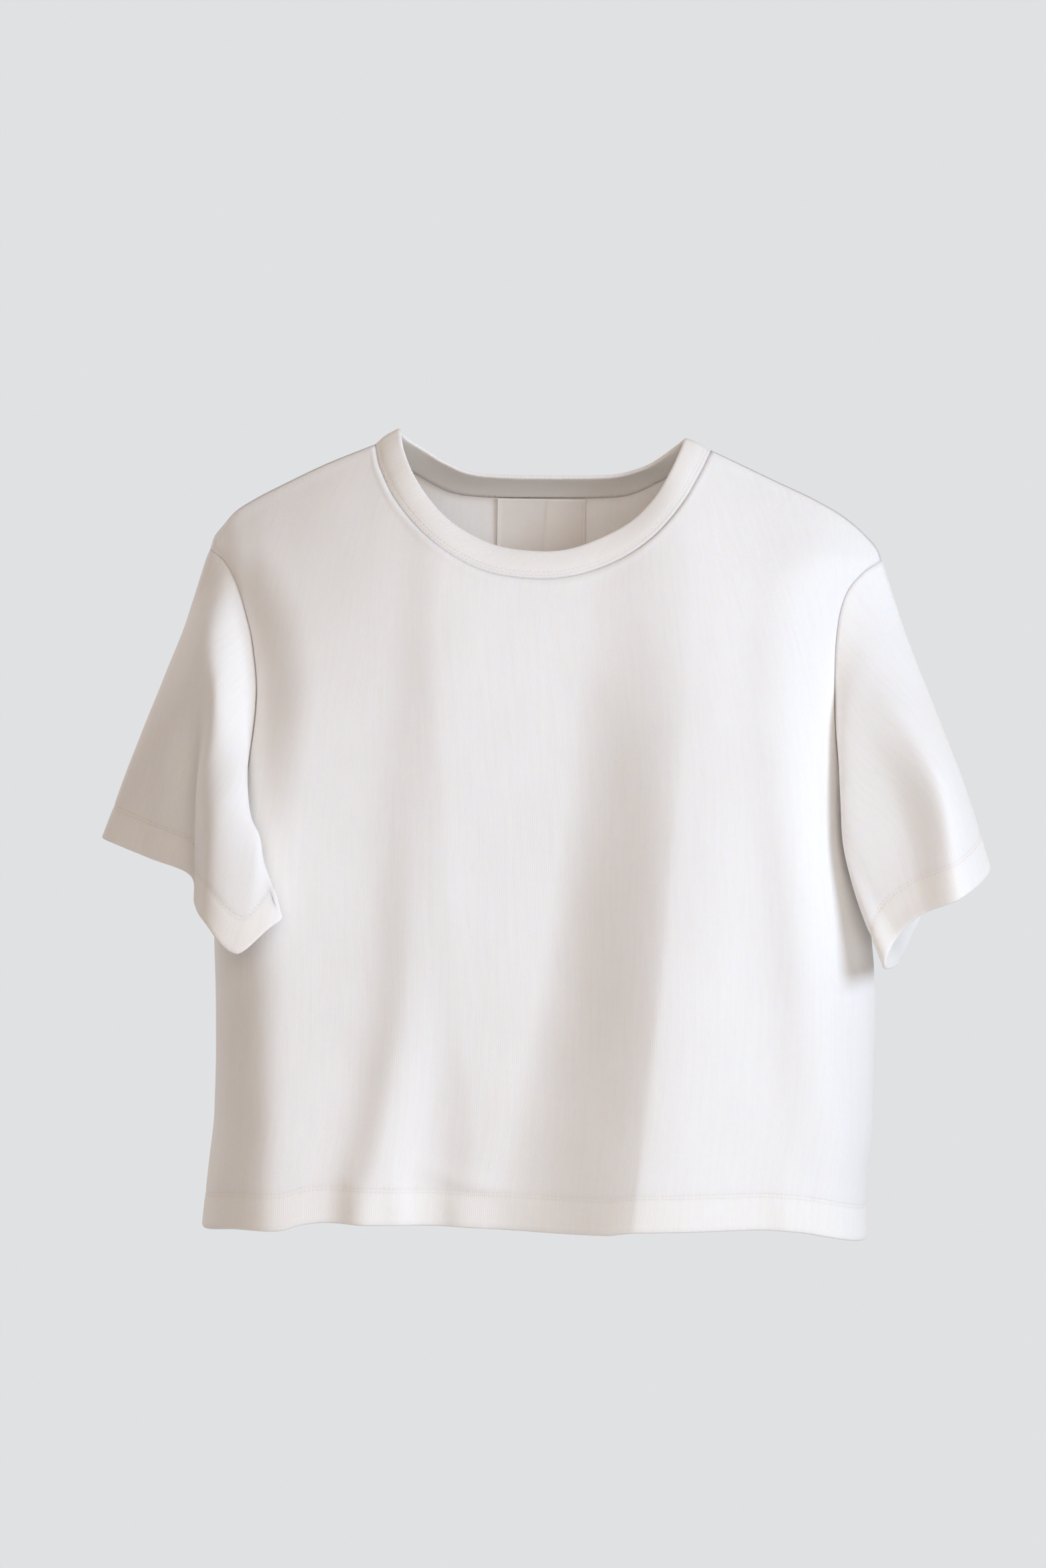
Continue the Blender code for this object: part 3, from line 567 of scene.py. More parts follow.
bandLeft, bandRight = (-0.0903, 0.0, 0.0098), (0.0893, 0.0, 0.0072)
bandFront = (  # the folded edge: x, out, height
    bandLeft,
    (-0.0891, 0.007, 0.0026),
    (-0.0869, 0.013, -0.0062),
    (-0.0809, 0.022, -0.0200),
    (-0.0716, 0.029, -0.0341),
    (-0.0604, 0.035, -0.0467),
    (-0.0459, 0.039, -0.0572),
    (-0.0269, 0.042, -0.0655),
    (-0.0050, 0.044, -0.0686),
    (0.0150, 0.044, -0.0674),
    (0.0342, 0.042, -0.0606),
    (0.0544, 0.037, -0.0489),
    (0.0694, 0.029, -0.0330),
    (0.0797, 0.020, -0.0156),
    (0.0869, 0.007, 0.0003),
    bandRight,
)
bandBack = (
    bandLeft,
    (-0.0872, 0.006, 0.0060),
    (-0.0742, 0.013, -0.0011),
    (-0.0601, 0.017, -0.0088),
    (-0.0408, 0.020, -0.0149),
    (0.0, 0.021, -0.0159),
    (0.0405, 0.020, -0.0148),
    (0.0601, 0.017, -0.0106),
    (0.0714, 0.014, -0.0053),
    (0.0840, 0.007, 0.0034),
    bandRight,
)


def bandGrid():
    side, count = fine["shoulderColumns"], fine["neckColumns"] + 1
    neck = slice(side, -side)
    seam = np.vstack([front[-1, neck], back[-1, neck][::-1][1:-1]])
    before = evenPoints(splineLine(bandFront) * (1, -1, 1), count)
    behind = evenPoints(splineLine(bandBack), count)
    edge = np.vstack([before, behind[::-1][1:-1]])
    shares = np.linspace(0, 1, fine["bandRows"] + 1)[:, None, None]
    return seam * (1 - shares) + edge * shares


band = bandGrid()
print("band:", band.shape)

# sewing: walls that meet at shared points

def faceNormals(grid, facing, closed):
    right = np.roll(grid, -1, axis=1) if closed else grid[:, 1:]
    left = grid if closed else grid[:, :-1]
    return facing * np.cross(right[1:] - left[:-1], left[1:] - right[:-1])


def pointSums(grid, facing, closed):
    normals = faceNormals(grid, facing, closed)
    sums = np.zeros_like(grid)
    for row in (slice(None, -1), slice(1, None)):
        if closed:
            sums[row] += normals + np.roll(normals, 1, axis=1)
        else:
            sums[row, :-1] += normals
            sums[row, 1:] += normals
    return sums


def wayIn(line, innerLine, normals, closed):
    if closed:
        along = np.roll(line, -1, axis=0) - np.roll(line, 1, axis=0)
    else:
        along = np.gradient(line, axis=0)
    across = unit(np.cross(along, normals))
    return across * np.sign(np.sum(across * (innerLine - line), axis=1, keepdims=True))


def borderWays(grid, normals, closed):
    ways = np.zeros_like(grid)
    ways[0] += wayIn(grid[0], grid[1], normals[0], closed)
    ways[-1] += wayIn(grid[-1], grid[-2], normals[-1], closed)
    if not closed:
        ways[:, 0] += wayIn(grid[:, 0], grid[:, 1], normals[:, 0], False)
        ways[:, -1] += wayIn(grid[:, -1], grid[:, -2], normals[:, -1], False)
    return unit(ways) * (np.linalg.norm(ways, axis=2, keepdims=True) > 0)


pieces = {  # grid, facing, closed round
    "jersey_front": (front, 1, False),
    "jersey_back": (back, -1, False),
    "jersey_sleeve_left": (leftSleeve, -1, True),
    "jersey_sleeve_right": (rightSleeve, 1, True),
    "rib_neck_band": (band, 1, True),
}


def sewnEdges():
    meetings, kept = {}, {}
    for name, (grid, facing, closed) in pieces.items():
        sums = pointSums(grid, facing, closed)
        ways = borderWays(grid, unit(sums), closed)
        kept[name] = sums, ways
        for row, column in np.argwhere(np.any(ways, axis=2)):
            key = tuple(np.round(grid[row, column], 7))
            meetings.setdefault(key, []).append((sums[row, column], ways[row, column]))
    found = {}
    for name, (sums, ways) in kept.items():
        grid = pieces[name][0]
        normals, shifts = unit(sums), np.zeros_like(sums)
        for row, column in np.argwhere(np.any(ways, axis=2)):
            meeting = meetings[tuple(np.round(grid[row, column], 7))]
            if len(meeting) == 1:
                continue
            own, way = normals[row, column], ways[row, column]
            shared = unit(sum(total for total, _ in meeting))
            others = (sum(other for _, other in meeting) - way) / (len(meeting) - 1)
            rise = own @ others * 4
            turn = (0.75 - own @ shared) * 4
            folded = np.clip(max(rise, min(turn, rise + 0.6)), 0, 1)
            normals[row, column] = unit(shared * (1 - folded) + own * folded)
            shifts[row, column] = unit(way - others) * cloth["seamGap"] / 2
        found[name] = normals, shifts
    return found


def sewnDistance(grid, seams):  # how far each point is from the nearest sewn edge
    first, last = rowDistances(grid)
    left, right = (d.T for d in rowDistances(grid.transpose(1, 0, 2)))
    edges = {"first": first, "last": last, "left": left, "right": right}
    return np.min([edges[name] for name in seams], axis=0)


def unevenness(points, scales):  # cloth is never quite smooth
    moved = np.zeros(points.shape[:2])
    for size, height in scales:
        for row in range(points.shape[0]):
            for column in range(points.shape[1]):
                moved[row, column] += height * noise.noise(Vector(points[row, column]) / size)
    return moved


def shellMesh(name, outer, inner, closed, uv, facing, rounds, joinColumn=-1):
    rows, columns = outer.shape[:2]
    middle, half = (outer + inner) / 2, (outer - inner) / 2
    before, after = [], []  # lines that round the free edges
    for end, inward, kept in ((0, 1, before), (-1, -2, after)):
        if end in rounds:
            thick = np.linalg.norm(half[end], axis=1, keepdims=True)
            out = unit(middle[end] - middle[inward]) * thick
            for turn in (0.25 * math.pi, 0.5 * math.pi, 0.75 * math.pi):
                kept.append(middle[end] + half[end] * math.cos(turn) + out * math.sin(turn) * 0.9)
    points = np.array(list(outer) + after + list(inner[::-1]) + before[::-1])
    places = np.array(list(uv) + [uv[-1]] * len(after) + list(uv[::-1]) + [uv[0]] * len(before))
    total = len(points)
    nextPlaces = np.roll(places, -1, axis=1)
    if closed:  # where the ring closes, the cloth's own distances run on
        nextPlaces[:, joinColumn] = 2 * places[:, joinColumn] - places[:, joinColumn - 1]
    faces, faceUv = [], []
    for r in range(total):
        s = (r + 1) % total
        for c in range(columns if closed else columns - 1):
            d = (c + 1) % columns
            faces.append((r * columns + c, r * columns + d, s * columns + d, s * columns + c))
            faceUv.append((places[r, c], nextPlaces[r, c], nextPlaces[s, c], places[s, c]))
    if not closed:  # the two open sides: strips, and fans at the rounded ends
        top = total - len(before) - 1
        for c, turned in ((0, False), (columns - 1, True)):
            sides = [(r, r + 1, top - 1 - r, top - r) for r in range(rows - 1)]
            if after:
                sides.append(tuple(range(rows - 1, rows + 1 + len(after))))
            if before:
                sides.append(tuple(range(top, total)) + (0,))
            for side in sides:
                side = side if turned else side[::-1]
                faces.append(tuple(r * columns + c for r in side))
                faceUv.append([places[r, c] for r in side])
    if facing < 0:
        faces = [face[::-1] for face in faces]
        faceUv = [corners[::-1] for corners in faceUv]
    mesh = bpy.data.meshes.new(name)
    mesh.from_pydata(points.reshape(-1, 3).tolist(), [], faces)
    layer = mesh.uv_layers.new(name="cloth")
    flatUv = np.concatenate([np.asarray(corners) for corners in faceUv])
    layer.data.foreach_set("uv", flatUv.astype(np.float32).ravel())
    mesh.shade_smooth()
    mesh.update()
    return mesh


def clothUv(grid, centre, joinColumn=None):  # metres of cloth, across from the centre column
    right = rowDistances(grid.transpose(1, 0, 2))[0].T
    across = right - right[:, centre : centre + 1]
    if joinColumn is not None:  # a sleeve is counted both ways from its top
        closing = np.linalg.norm(grid[:, 0] - grid[:, -1], axis=1)[:, None]
        girth = right[:, -1:] + closing
        across = np.where(np.arange(grid.shape[1]) > joinColumn, right - girth, right)
    return np.stack([across, rowDistances(grid)[0]], axis=2)


sewn = sewnEdges()
print("seams measured")


# colours and finishes

def hexColour(text):  # sRGB hex to linear
    parts = [int(text[i : i + 2], 16) / 255 for i in (1, 3, 5)]
    return [p / 12.92 if p <= 0.04045 else ((p + 0.055) / 1.055) ** 2.4 for p in parts] + [1.0]


def addNode(tree, kind, links=None, values=None, **settings):
    node = tree.nodes.new(kind)
    for key, value in settings.items():
        setattr(node, key, value)
    for socket, value in (values or {}).items():
        node.inputs[socket].default_value = value
    for socket, source in (links or {}).items():
        tree.links.new(source, node.inputs[socket])
    return node


def newFinish(name, roughness, sheen, scatter):
    made = bpy.data.materials.new(name)
    made.use_nodes = True
    tree = made.node_tree
    shader = tree.nodes["Principled BSDF"]
    shader.inputs["Roughness"].default_value = roughness
    shader.inputs["IOR"].default_value = 1.45
    shader.inputs["Specular IOR Level"].default_value = 0.25
    shader.inputs["Sheen Weight"].default_value = sheen
    shader.inputs["Sheen Roughness"].default_value = 0.6
    shader.inputs["Subsurface Weight"].default_value = scatter
    shader.inputs["Subsurface Scale"].default_value = 0.0035
    shader.inputs["Subsurface Radius"].default_value = (1.0, 0.72, 0.45)
    return made, tree, shader


# Heavy single jersey in unbleached cotton: fine upright wales, a soft mottle, a little fuzz.
jerseyLook = {
    "colour": "#fcfbf9",
    # painted shade: the darker colour laid in the grooves between the wales
    "grooveShade": "#f6f2ee",
    "waleMm": 1.2,
    "courseMm": 1.0,
    "slubMm": 3.0,
    "waleHeight": 0.22,
    "bump": 0.17,
}
# One-by-one rib of the same yarn: wider, deeper wales, which catch more light at the band's crown;
# the deeper wales also deepen the painted shade in their grooves.
ribLook = dict(jerseyLook, waleMm=1.5, waleHeight=0.5, bump=0.2)


def knitFinish(name, look):
    made, tree, shader = newFinish(name, 0.92, 0.15, 0.4)
    place = addNode(tree, "ShaderNodeUVMap", uv_map="cloth")
    split = addNode(tree, "ShaderNodeSeparateXYZ", {0: place.outputs[0]})
    metresToMm = 1000
    # each wale wanders a little, so the lines break up as knit ones do
    stretched = addNode(
        tree, "ShaderNodeMapping", {0: place.outputs[0]}, {3: (1 / 0.004, 1 / 0.030, 1)}
    )
    wander = addNode(tree, "ShaderNodeTexNoise", {"Vector": stretched.outputs[0]}, {"Scale": 1.0})
    shift = addNode(
        tree, "ShaderNodeMath", {0: wander.outputs[0]}, {1: 3.2}, operation="MULTIPLY"
    )
    turns = addNode(
        tree, "ShaderNodeMath", {0: split.outputs["X"]},
        {1: 2 * math.pi * metresToMm / look["waleMm"]}, operation="MULTIPLY",
    )
    moved = addNode(
        tree, "ShaderNodeMath", {0: turns.outputs[0], 1: shift.outputs[0]}, operation="ADD"
    )
    wale = addNode(tree, "ShaderNodeMath", {0: moved.outputs[0]}, operation="SINE")
    rows = addNode(
        tree, "ShaderNodeMath", {0: split.outputs["Y"]},
        {1: 2 * math.pi * metresToMm / look["courseMm"]}, operation="MULTIPLY",
    )
    course = addNode(tree, "ShaderNodeMath", {0: rows.outputs[0]}, operation="SINE")
    # slub: threads that are thicker for a few centimetres
    slubPlace = addNode(
        tree, "ShaderNodeMapping", {0: place.outputs[0]},
        {3: (metresToMm / look["slubMm"], metresToMm / look["slubMm"] / 14, 1)},
    )
    slub = addNode(
        tree, "ShaderNodeTexNoise", {"Vector": slubPlace.outputs[0]}, {"Scale": 1.0, "Detail": 4.0}
    )
    fuzz = addNode(
        tree, "ShaderNodeTexNoise", {"Vector": place.outputs[0]}, {"Scale": 900.0, "Detail": 3.0}
    )
    waleHeight = addNode(
        tree, "ShaderNodeMath", {0: wale.outputs[0]}, {1: look["waleHeight"]}, operation="MULTIPLY"
    )
    courseHeight = addNode(
        tree, "ShaderNodeMath", {0: course.outputs[0]}, {1: 0.05}, operation="MULTIPLY"
    )
    loops = addNode(
        tree, "ShaderNodeMath", {0: waleHeight.outputs[0], 1: courseHeight.outputs[0]},
        operation="ADD",
    )
    yarn = addNode(
        tree, "ShaderNodeMath", {0: loops.outputs[0], 1: slub.outputs[0]}, operation="ADD"
    )
    height = addNode(
        tree, "ShaderNodeMath", {0: yarn.outputs[0], 1: fuzz.outputs[0]}, operation="ADD"
    )
    bump = addNode(
        tree, "ShaderNodeBump", {"Height": height.outputs[0]},
        {"Strength": look["bump"], "Distance": 0.0006},
    )
    # painted shade: the colour darkens in the wale grooves as the bump's height drops; the slub
    # adds a random tone of thicker threads
    shade = addNode(
        tree, "ShaderNodeMapRange", {"Value": yarn.outputs[0]},
        {"From Min": -0.05, "From Max": 0.75},
    )
    mix = addNode(tree, "ShaderNodeMix", {"Factor": shade.outputs[0]}, data_type="RGBA")
    ends = {"A": look["grooveShade"], "B": look["colour"]}
    for socket in mix.inputs:  # the node has sockets of one name for each kind of value
        if socket.type == "RGBA" and socket.name in ends:
            socket.default_value = hexColour(ends[socket.name])
    colour = [socket for socket in mix.outputs if socket.type == "RGBA"][0]
    tree.links.new(colour, shader.inputs["Base Color"])
    tree.links.new(bump.outputs[0], shader.inputs["Normal"])
    return made


jersey = knitFinish("jersey_single_knit", jerseyLook)
rib = knitFinish("rib_one_by_one", ribLook)
print("finishes made")

# the cloth pieces

walls = {}  # thickness by row
for name, (grid, _, _) in pieces.items():
    walls[name] = np.full(len(grid), cloth["bandWall" if name == "rib_neck_band" else "wall"])
for name in ("jersey_front", "jersey_back"):
    walls[name][: fine["hemRows"] + 1] = cloth["hemWall"]
for name in ("jersey_sleeve_left", "jersey_sleeve_right"):
    walls[name][-fine["cuffRows"] - 1 :] = cloth["hemWall"]
walls["rib_neck_band"][:2] = cloth["wall"]

hemLine = (cloth["hemTurn"], 0.0004, 0.0022)
turnLines = {  # a stitched turn: from the first or last row, distance, depth and half width
    "jersey_front": (0, *hemLine),
    "jersey_back": (0, *hemLine),
    "jersey_sleeve_left": (1, *hemLine),
    "jersey_sleeve_right": (1, *hemLine),
    "rib_neck_band": (0, 0.0032, 0.0003, 0.0016),
}


def declare(piece, node):
    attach(piece, "root")
    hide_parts(node)


bodyFacts = ("jersey", jersey, ("last", "left", "right"), (0,))
sleeveFacts = ("jersey", jersey, ("first",), (-1,))
pieceFacts = {  # node, slot, finish, sewn edges, rounded free edge, flat cut, its area
    "jersey_front": ("front_panel", *bodyFacts, (0.527, 0.498), 0.204),
    "jersey_back": ("back_panel", *bodyFacts, (0.527, 0.498), 0.208),
    "jersey_sleeve_left": ("sleeve_left", *sleeveFacts, (0.462, 0.192), 0.0457),
    "jersey_sleeve_right": ("sleeve_right", *sleeveFacts, (0.461, 0.197), 0.0548),
    "rib_neck_band": ("neck_band", "rib", rib, ("first",), (-1,), (0.563, 0.0191), 0.0091),
}
surfaces = {}
for name, (grid, facing, closed) in pieces.items():
    node, slot, finish, seams, rounds = pieceFacts[name][:5]
    normals, shifts = sewn[name]
    near = sewnDistance(grid, seams)
    lift = unevenness(grid, cloth["unevenness"]) * np.clip(near / 0.006, 0, 1)
    if name == "rib_neck_band":
        crown = np.sin(np.pi * np.linspace(0, 1, len(grid)))[:, None]
        lift = lift * 0.3 + crown * cloth["bandCrown"]
    lift = lift - cloth["seamDip"] * np.exp(-((near / cloth["seamDipWidth"]) ** 2))
    if name in ("jersey_front", "jersey_back"):
        past = (near - cloth["seamRidgeAt"]) / cloth["seamRidgeWidth"]
        lift = lift + cloth["seamRidge"] * np.exp(-(past**2))
    end, distance, deep, width = turnLines[name]
    lift = lift - deep * np.exp(-(((rowDistances(grid)[end] - distance) / width) ** 2))
    outer = grid + shifts + normals * lift[:, :, None]
    inner = outer - normals * walls[name][:, None, None]
    columns = grid.shape[1]
    isSleeve = name.startswith("jersey_sleeve")
    join = columns // 2 if isSleeve else columns - 1  # where a ring's pattern meets
    uv = clothUv(grid, 0 if closed else columns // 2, join if isSleeve else None)
    mesh = shellMesh(name, outer, inner, closed, uv, facing, rounds, join)
    mesh.materials.append(finish)
    surfaces[name] = outer, inner, normals
    piece = bpy.data.objects.new(name, mesh)
    bpy.context.scene.collection.objects.link(piece)
    declare(piece, node)
    print("piece:", name, len(mesh.polygons), "faces")

# label

label = {
    "width": 0.056,
    "height": 0.047,
    "top": -0.0275,
    "wall": 0.0007,
    "standoff": 0.0012,
    "columns": 56,
    "rows": 40,
    "rim": (0.0009, 0.0007, 0.00035),  # in from the sides, half width, height
    "pleat": (0.0037, 0.0010, 0.0005),  # x at the top and the bottom, height
    "pleatWidths": (0.0006, 0.009),  # steep to its left, fading out to its right
    "stitchShare": 0.035,  # how far in from its side the zigzag runs
}


def labelGrid():
    x, z = np.meshgrid(
        np.linspace(-label["width"] / 2, label["width"] / 2, label["columns"] + 1),
        np.linspace(label["top"] - label["height"], label["top"], label["rows"] + 1),
    )
    skin = np.stack([x, skinY(backPanel, x, z), z], axis=2)
    normals = unit(pointSums(skin, -1, False))
    lift = unevenness(skin, cloth["unevenness"]) * np.clip((-0.027 - z) / 0.006, 0, 1)
    behind = skin + normals * (lift - cloth["wall"] - label["standoff"])[:, :, None]
    inset, half, high = label["rim"]
    leftRim, rightRim = (x - x[0, 0] - inset) / half, (x[0, -1] - x - inset) / half
    relief = high * (np.exp(-(leftRim**2)) + np.exp(-(rightRim**2)))
    top, low, rise = label["pleat"]  # the right half is folded over the left one
    crease = low + (top - low) * (z - z[0, 0]) / label["height"]
    past = x - crease
    spread = np.where(past < 0, *label["pleatWidths"])
    relief += rise * np.exp(-((past / spread) ** 2))
    before = behind - normals * (label["wall"] + relief)[:, :, None]
    return behind, before, normals


def tapeFinish():  # woven cotton tape, washed: warm cream, flat, with a faint plain weave
    made, tree, shader = newFinish("woven_cotton_tape", 0.85, 0.1, 0.15)
    place = addNode(tree, "ShaderNodeUVMap", uv_map="cloth")
    split = addNode(tree, "ShaderNodeSeparateXYZ", {0: place.outputs[0]})
    threads = []
    for axis in ("X", "Y"):  # threads of 0.35 mm are drawn at 0.8 mm, or they wouldn't show
        turns = addNode(
            tree, "ShaderNodeMath", {0: split.outputs[axis]}, {1: 2 * math.pi / 0.0008},
            operation="MULTIPLY",
        )
        threads.append(addNode(tree, "ShaderNodeMath", {0: turns.outputs[0]}, operation="SINE"))
    weave = addNode(
        tree, "ShaderNodeMath", {0: threads[0].outputs[0], 1: threads[1].outputs[0]},
        operation="MULTIPLY",
    )
    bump = addNode(
        tree, "ShaderNodeBump", {"Height": weave.outputs[0]}, {"Strength": 0.12, "Distance": 0.0004}
    )
    mottle = addNode(
        tree, "ShaderNodeTexNoise", {"Vector": place.outputs[0]}, {"Scale": 120.0, "Detail": 3.0}
    )
    ramp = addNode(tree, "ShaderNodeValToRGB", {0: mottle.outputs[0]})
    ramp.color_ramp.elements[0].color = hexColour("#fdf3e8")
    ramp.color_ramp.elements[1].color = hexColour("#fff9f1")
    tree.links.new(ramp.outputs[0], shader.inputs["Base Color"])
    tree.links.new(bump.outputs[0], shader.inputs["Normal"])
    return made


behind, before, labelNormals = labelGrid()
mesh = shellMesh("tape_label", behind, before, False, clothUv(behind, 0), -1, ())
mesh.materials.append(tapeFinish())
piece = bpy.data.objects.new("tape_label", mesh)
bpy.context.scene.collection.objects.link(piece)
declare(piece, "label")
surfaces["tape_label"] = behind, before, labelNormals
print("label made")

# stitches

stitching = {
    "pitch": 0.0026,  # from hole to hole
    "length": 0.0020,
    "thread": 0.00042,
    "twinGap": 0.0022,  # between the two needles of a hem
    "bandZigzag": (0.0016, 0.0011),  # pitch, swing to each side
    "labelZigzag": (0.0013, 0.0004),
    "labelLength": 0.0015,
    "seed": 5,
}


def stitchTree():
    tree = bpy.data.node_groups.new("running_stitches", "GeometryNodeTree")
    sockets = {}
    for name, kind in (
        ("Needle Points", "NodeSocketGeometry"),
        ("Stitch Length", "NodeSocketFloat"),
        ("Thread Width", "NodeSocketFloat"),
        ("Seed", "NodeSocketInt"),
        ("Thread", "NodeSocketMaterial"),
    ):
        sockets[name] = tree.interface.new_socket(name, in_out="INPUT", socket_type=kind).identifier
    tree.interface.new_socket("Stitches", in_out="OUTPUT", socket_type="NodeSocketGeometry")
    given = addNode(tree, "NodeGroupInput").outputs
    along, up = (
        addNode(
            tree, "GeometryNodeInputNamedAttribute", None, {"Name": name}, data_type="FLOAT_VECTOR"
        )
        for name in ("along", "up")
    )
    turn = addNode(
        tree, "FunctionNodeAxesToRotation", {0: up.outputs[0], 1: along.outputs[0]},
        primary_axis="Z", secondary_axis="X",
    )
    uneven = addNode(
        tree, "FunctionNodeRandomValue", {"Seed": given["Seed"]}, {2: 0.85, 3: 1.12},
        data_type="FLOAT",
    )
    thick = addNode(
        tree, "ShaderNodeMath", {0: given["Thread Width"], 1: uneven.outputs[1]},
        operation="MULTIPLY",
    )
    size = addNode(
        tree, "ShaderNodeCombineXYZ",
        {0: given["Stitch Length"], 1: thick.outputs[0], 2: thick.outputs[0]},
    )
    ball = addNode(
        tree, "GeometryNodeMeshUVSphere", None, {"Segments": 6, "Rings": 4, "Radius": 0.5}
    )
    lying = addNode(  # its poles lie along the thread
        tree, "GeometryNodeTransform", {"Geometry": ball.outputs[0]},
        {"Rotation": (0, math.pi / 2, 0)},
    )
    placed = addNode(
        tree, "GeometryNodeInstanceOnPoints",
        {
            "Points": given["Needle Points"], "Instance": lying.outputs[0],
            "Rotation": turn.outputs[0], "Scale": size.outputs[0],
        },
    )
    real = addNode(tree, "GeometryNodeRealizeInstances", {0: placed.outputs[0]})
    soft = addNode(tree, "GeometryNodeSetShadeSmooth", {"Geometry": real.outputs[0]})
    finish = addNode(
        tree, "GeometryNodeSetMaterial", {"Geometry": soft.outputs[0], "Material": given["Thread"]}
    )
    addNode(tree, "NodeGroupOutput", {0: finish.outputs[0]})
    return tree, sockets


def rowLine(name, end, distance, inside=False):  # points on a piece, level with one of its ends
    outer, inner, normals = surfaces[name]
    away = rowDistances(outer)[end]
    grid = inner if inside else outer
    order = slice(None) if end == 0 else slice(None, None, -1)
    points, ups = [], []
    for column in range(outer.shape[1]):
        far = away[order, column]
        points.append([np.interp(distance, far, grid[order, column, k]) for k in range(3)])
        ups.append([np.interp(distance, far, normals[order, column, k]) for k in range(3)])
    if pieces[name][2]:
        points, ups = points + points[:1], ups + ups[:1]
    return np.array(points), unit(np.array(ups)) * (-1 if inside else 1)


def stitchRow(points, ups, pitch, zigzag=0.0):  # centres, ways along and ways up
    along = lengthsAlong(points)
    holes = np.arange(pitch / 2, along[-1] - pitch / 2, pitch)
    at = np.stack([np.interp(holes, along, points[:, k]) for k in range(3)], axis=1)
    up = unit(np.stack([np.interp(holes, along, ups[:, k]) for k in range(3)], axis=1))
    across = unit(np.cross(up, np.gradient(at, axis=0)))
    at = at + across * (zigzag * (-1.0) ** np.arange(len(at)))[:, None]
    return (at[1:] + at[:-1]) / 2, unit(at[1:] - at[:-1]), unit(up[1:] + up[:-1])


def stitchPiece(name, rows, finish, length):
    centres, alongs, ups = (np.vstack(parts) for parts in zip(*rows))
    needle = bpy.data.meshes.new(name)
    needle.from_pydata(centres.tolist(), [], [])
    for kind, values in (("along", alongs), ("up", ups)):
        needle.attributes.new(kind, "FLOAT_VECTOR", "POINT").data.foreach_set(
            "vector", values.astype(np.float32).ravel()
        )
    holder = bpy.data.objects.new(name, needle)
    bpy.context.scene.collection.objects.link(holder)
    modifier = holder.modifiers.new("stitches", "NODES")
    modifier.node_group = stitchNodes
    modifier[stitchSockets["Stitch Length"]] = length
    modifier[stitchSockets["Thread Width"]] = stitching["thread"]
    modifier[stitchSockets["Seed"]] = stitching["seed"]
    modifier[stitchSockets["Thread"]] = finish
    made = holder.evaluated_get(bpy.context.evaluated_depsgraph_get())
    sewnMesh = bpy.data.meshes.new_from_object(made)
    holder.modifiers.clear()
    holder.data = sewnMesh
    sewnMesh.name = name
    return holder


def threadFinish():  # polyester-cotton thread: a touch warmer and glossier than the cloth
    made, tree, shader = newFinish("twisted_sewing_thread", 0.55, 0.1, 0.1)
    place = addNode(tree, "ShaderNodeTexCoord")
    twist = addNode(
        tree, "ShaderNodeTexNoise", {"Vector": place.outputs["Object"]},
        {"Scale": 2500.0, "Detail": 2.0},
    )
    ramp = addNode(tree, "ShaderNodeValToRGB", {0: twist.outputs[0]})
    ramp.color_ramp.elements[0].color = hexColour("#efe6da")
    ramp.color_ramp.elements[1].color = hexColour("#faf6f0")
    tree.links.new(ramp.outputs[0], shader.inputs["Base Color"])
    return made


def twinRows(name):  # two needles, one on each side of the stitched turn
    end, distance = turnLines[name][:2]
    gap = stitching["twinGap"] / 2
    lines = [rowLine(name, end, distance + side * gap) for side in (-1, 1)]
    return [stitchRow(*line, stitching["pitch"]) for line in lines]


stitchNodes, stitchSockets = stitchTree()
thread = threadFinish()
share = label["stitchShare"]
labelSide = before[:, -1] * (1 - share) + before[:, 0] * share
rowsOf = {name: twinRows(name) for name in pieces}
rowsOf["rib_neck_band"] += [
    stitchRow(*rowLine("rib_neck_band", 0, 0.0034, True), *stitching["bandZigzag"])
]
rowsOf["tape_label"] = [stitchRow(labelSide, -labelNormals[:, -1], *stitching["labelZigzag"])]
for name, rows in rowsOf.items():
    if name == "tape_label":
        slot, length = "label", stitching["labelLength"]
    else:
        slot, length = pieceFacts[name][1], stitching["length"]
    made = stitchPiece("stitches_" + name, rows, thread, length)
    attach(made, "root")
    print("stitches:", name, len(made.data.polygons), "faces")

# stage, light and camera

stageLook = {
    "background": "#e0e1e3",
    "ambient": "#ffe2c8",
    "ambientStrength": 0.24,
    "floor": "#dcdfe1",
    "floorHeight": -1.25,
    "floorReach": (2.6, -2.5, 1.4),  # to each side, to the front, to the back
}
world = bpy.data.worlds.new("studio")
bpy.context.scene.world = world
world.use_nodes = True
tree = world.node_tree
tree.nodes.clear()
seen = addNode(
    tree, "ShaderNodeBackground", None, {0: hexColour(stageLook["background"]), 1: 1.0}
)
ambient = addNode(
    tree, "ShaderNodeBackground", None,
    {0: hexColour(stageLook["ambient"]), 1: stageLook["ambientStrength"]},
)
ray = addNode(tree, "ShaderNodeLightPath")
mixed = addNode(
    tree, "ShaderNodeMixShader",
    {0: ray.outputs["Is Camera Ray"], 1: ambient.outputs[0], 2: seen.outputs[0]},
)
addNode(tree, "ShaderNodeOutputWorld", {0: mixed.outputs[0]})

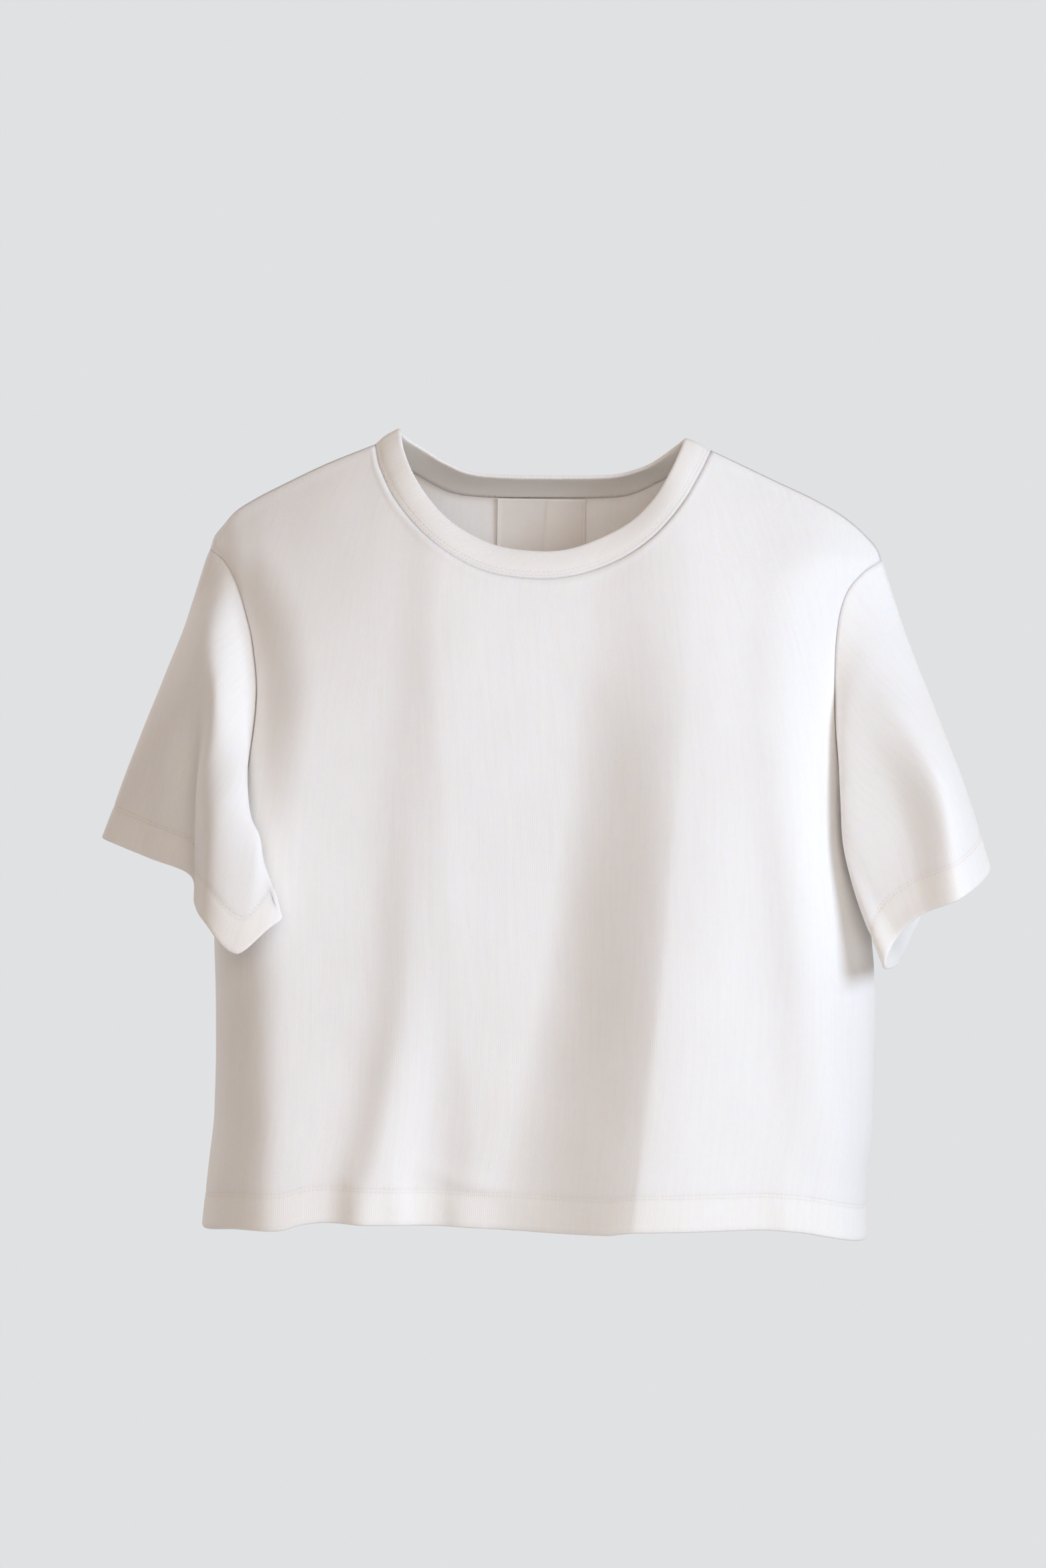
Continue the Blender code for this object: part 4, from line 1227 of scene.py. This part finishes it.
floorMesh = bpy.data.meshes.new("floor")
reach, nearEdge, farEdge = stageLook["floorReach"]
corners = [(-reach, nearEdge), (reach, nearEdge), (reach, farEdge), (-reach, farEdge)]
floorPoints = [(x, y, stageLook["floorHeight"]) for x, y in corners]
floorMesh.from_pydata(floorPoints, [], [(0, 1, 2, 3)])
floor = bpy.data.objects.new("floor", floorMesh)
bpy.context.scene.collection.objects.link(floor)
floorFinish = bpy.data.materials.new("painted_studio_floor")
floorFinish.use_nodes = True
paint = floorFinish.node_tree.nodes["Principled BSDF"].inputs["Base Color"]
paint.default_value = hexColour(stageLook["floor"])
floorMesh.materials.append(floorFinish)

lamps = {  # place, aim, size, watts, colour
    "window": ((1.98, -1.60, 0.62), (0.0, 0.0, -0.25), 1.3, 46.5, "#deedff"),
    "room": ((0.00, -2.70, 0.20), (0.0, 0.0, -0.25), 1.5, 20.0, "#fff3ec"),
    "overhead": ((0.10, -1.50, 2.00), (0.0, 0.0, -0.15), 1.0, 4.0, "#fff6ee"),
    "rearLeft": ((-1.90, 1.90, 0.80), (0.0, 0.0, -0.20), 1.4, 34.0, "#fdfcff"),
    "rearRight": ((1.50, 2.30, 0.90), (0.0, 0.0, -0.20), 1.4, 21.0, "#fff2e4"),
}
for name, (place, aim, size, watts, colour) in lamps.items():
    lamp = bpy.data.lights.new(name, "AREA")
    lamp.shape = "SQUARE"
    lamp.size = size
    lamp.energy = watts
    lamp.color = hexColour(colour)[:3]
    holder = bpy.data.objects.new(name, lamp)
    bpy.context.scene.collection.objects.link(holder)
    holder.visible_camera = False
    holder.location = place
    holder.rotation_euler = (Vector(aim) - Vector(place)).to_track_quat("-Z", "Y").to_euler()

shot = {"place": (-0.0088, -1.9, -0.2099), "roll": 1.0, "lens": 70.1, "sensor": 36.0}
camera = bpy.data.cameras.new("camera")
camera.sensor_fit = "AUTO"
camera.sensor_width = shot["sensor"]
camera.lens = shot["lens"]
holder = bpy.data.objects.new("camera", camera)
bpy.context.scene.collection.objects.link(holder)
holder.location = shot["place"]
holder.rotation_euler = (math.pi / 2, math.radians(-shot["roll"]), 0)
bpy.context.scene.camera = holder
bpy.context.scene.view_settings.view_transform = "Standard"
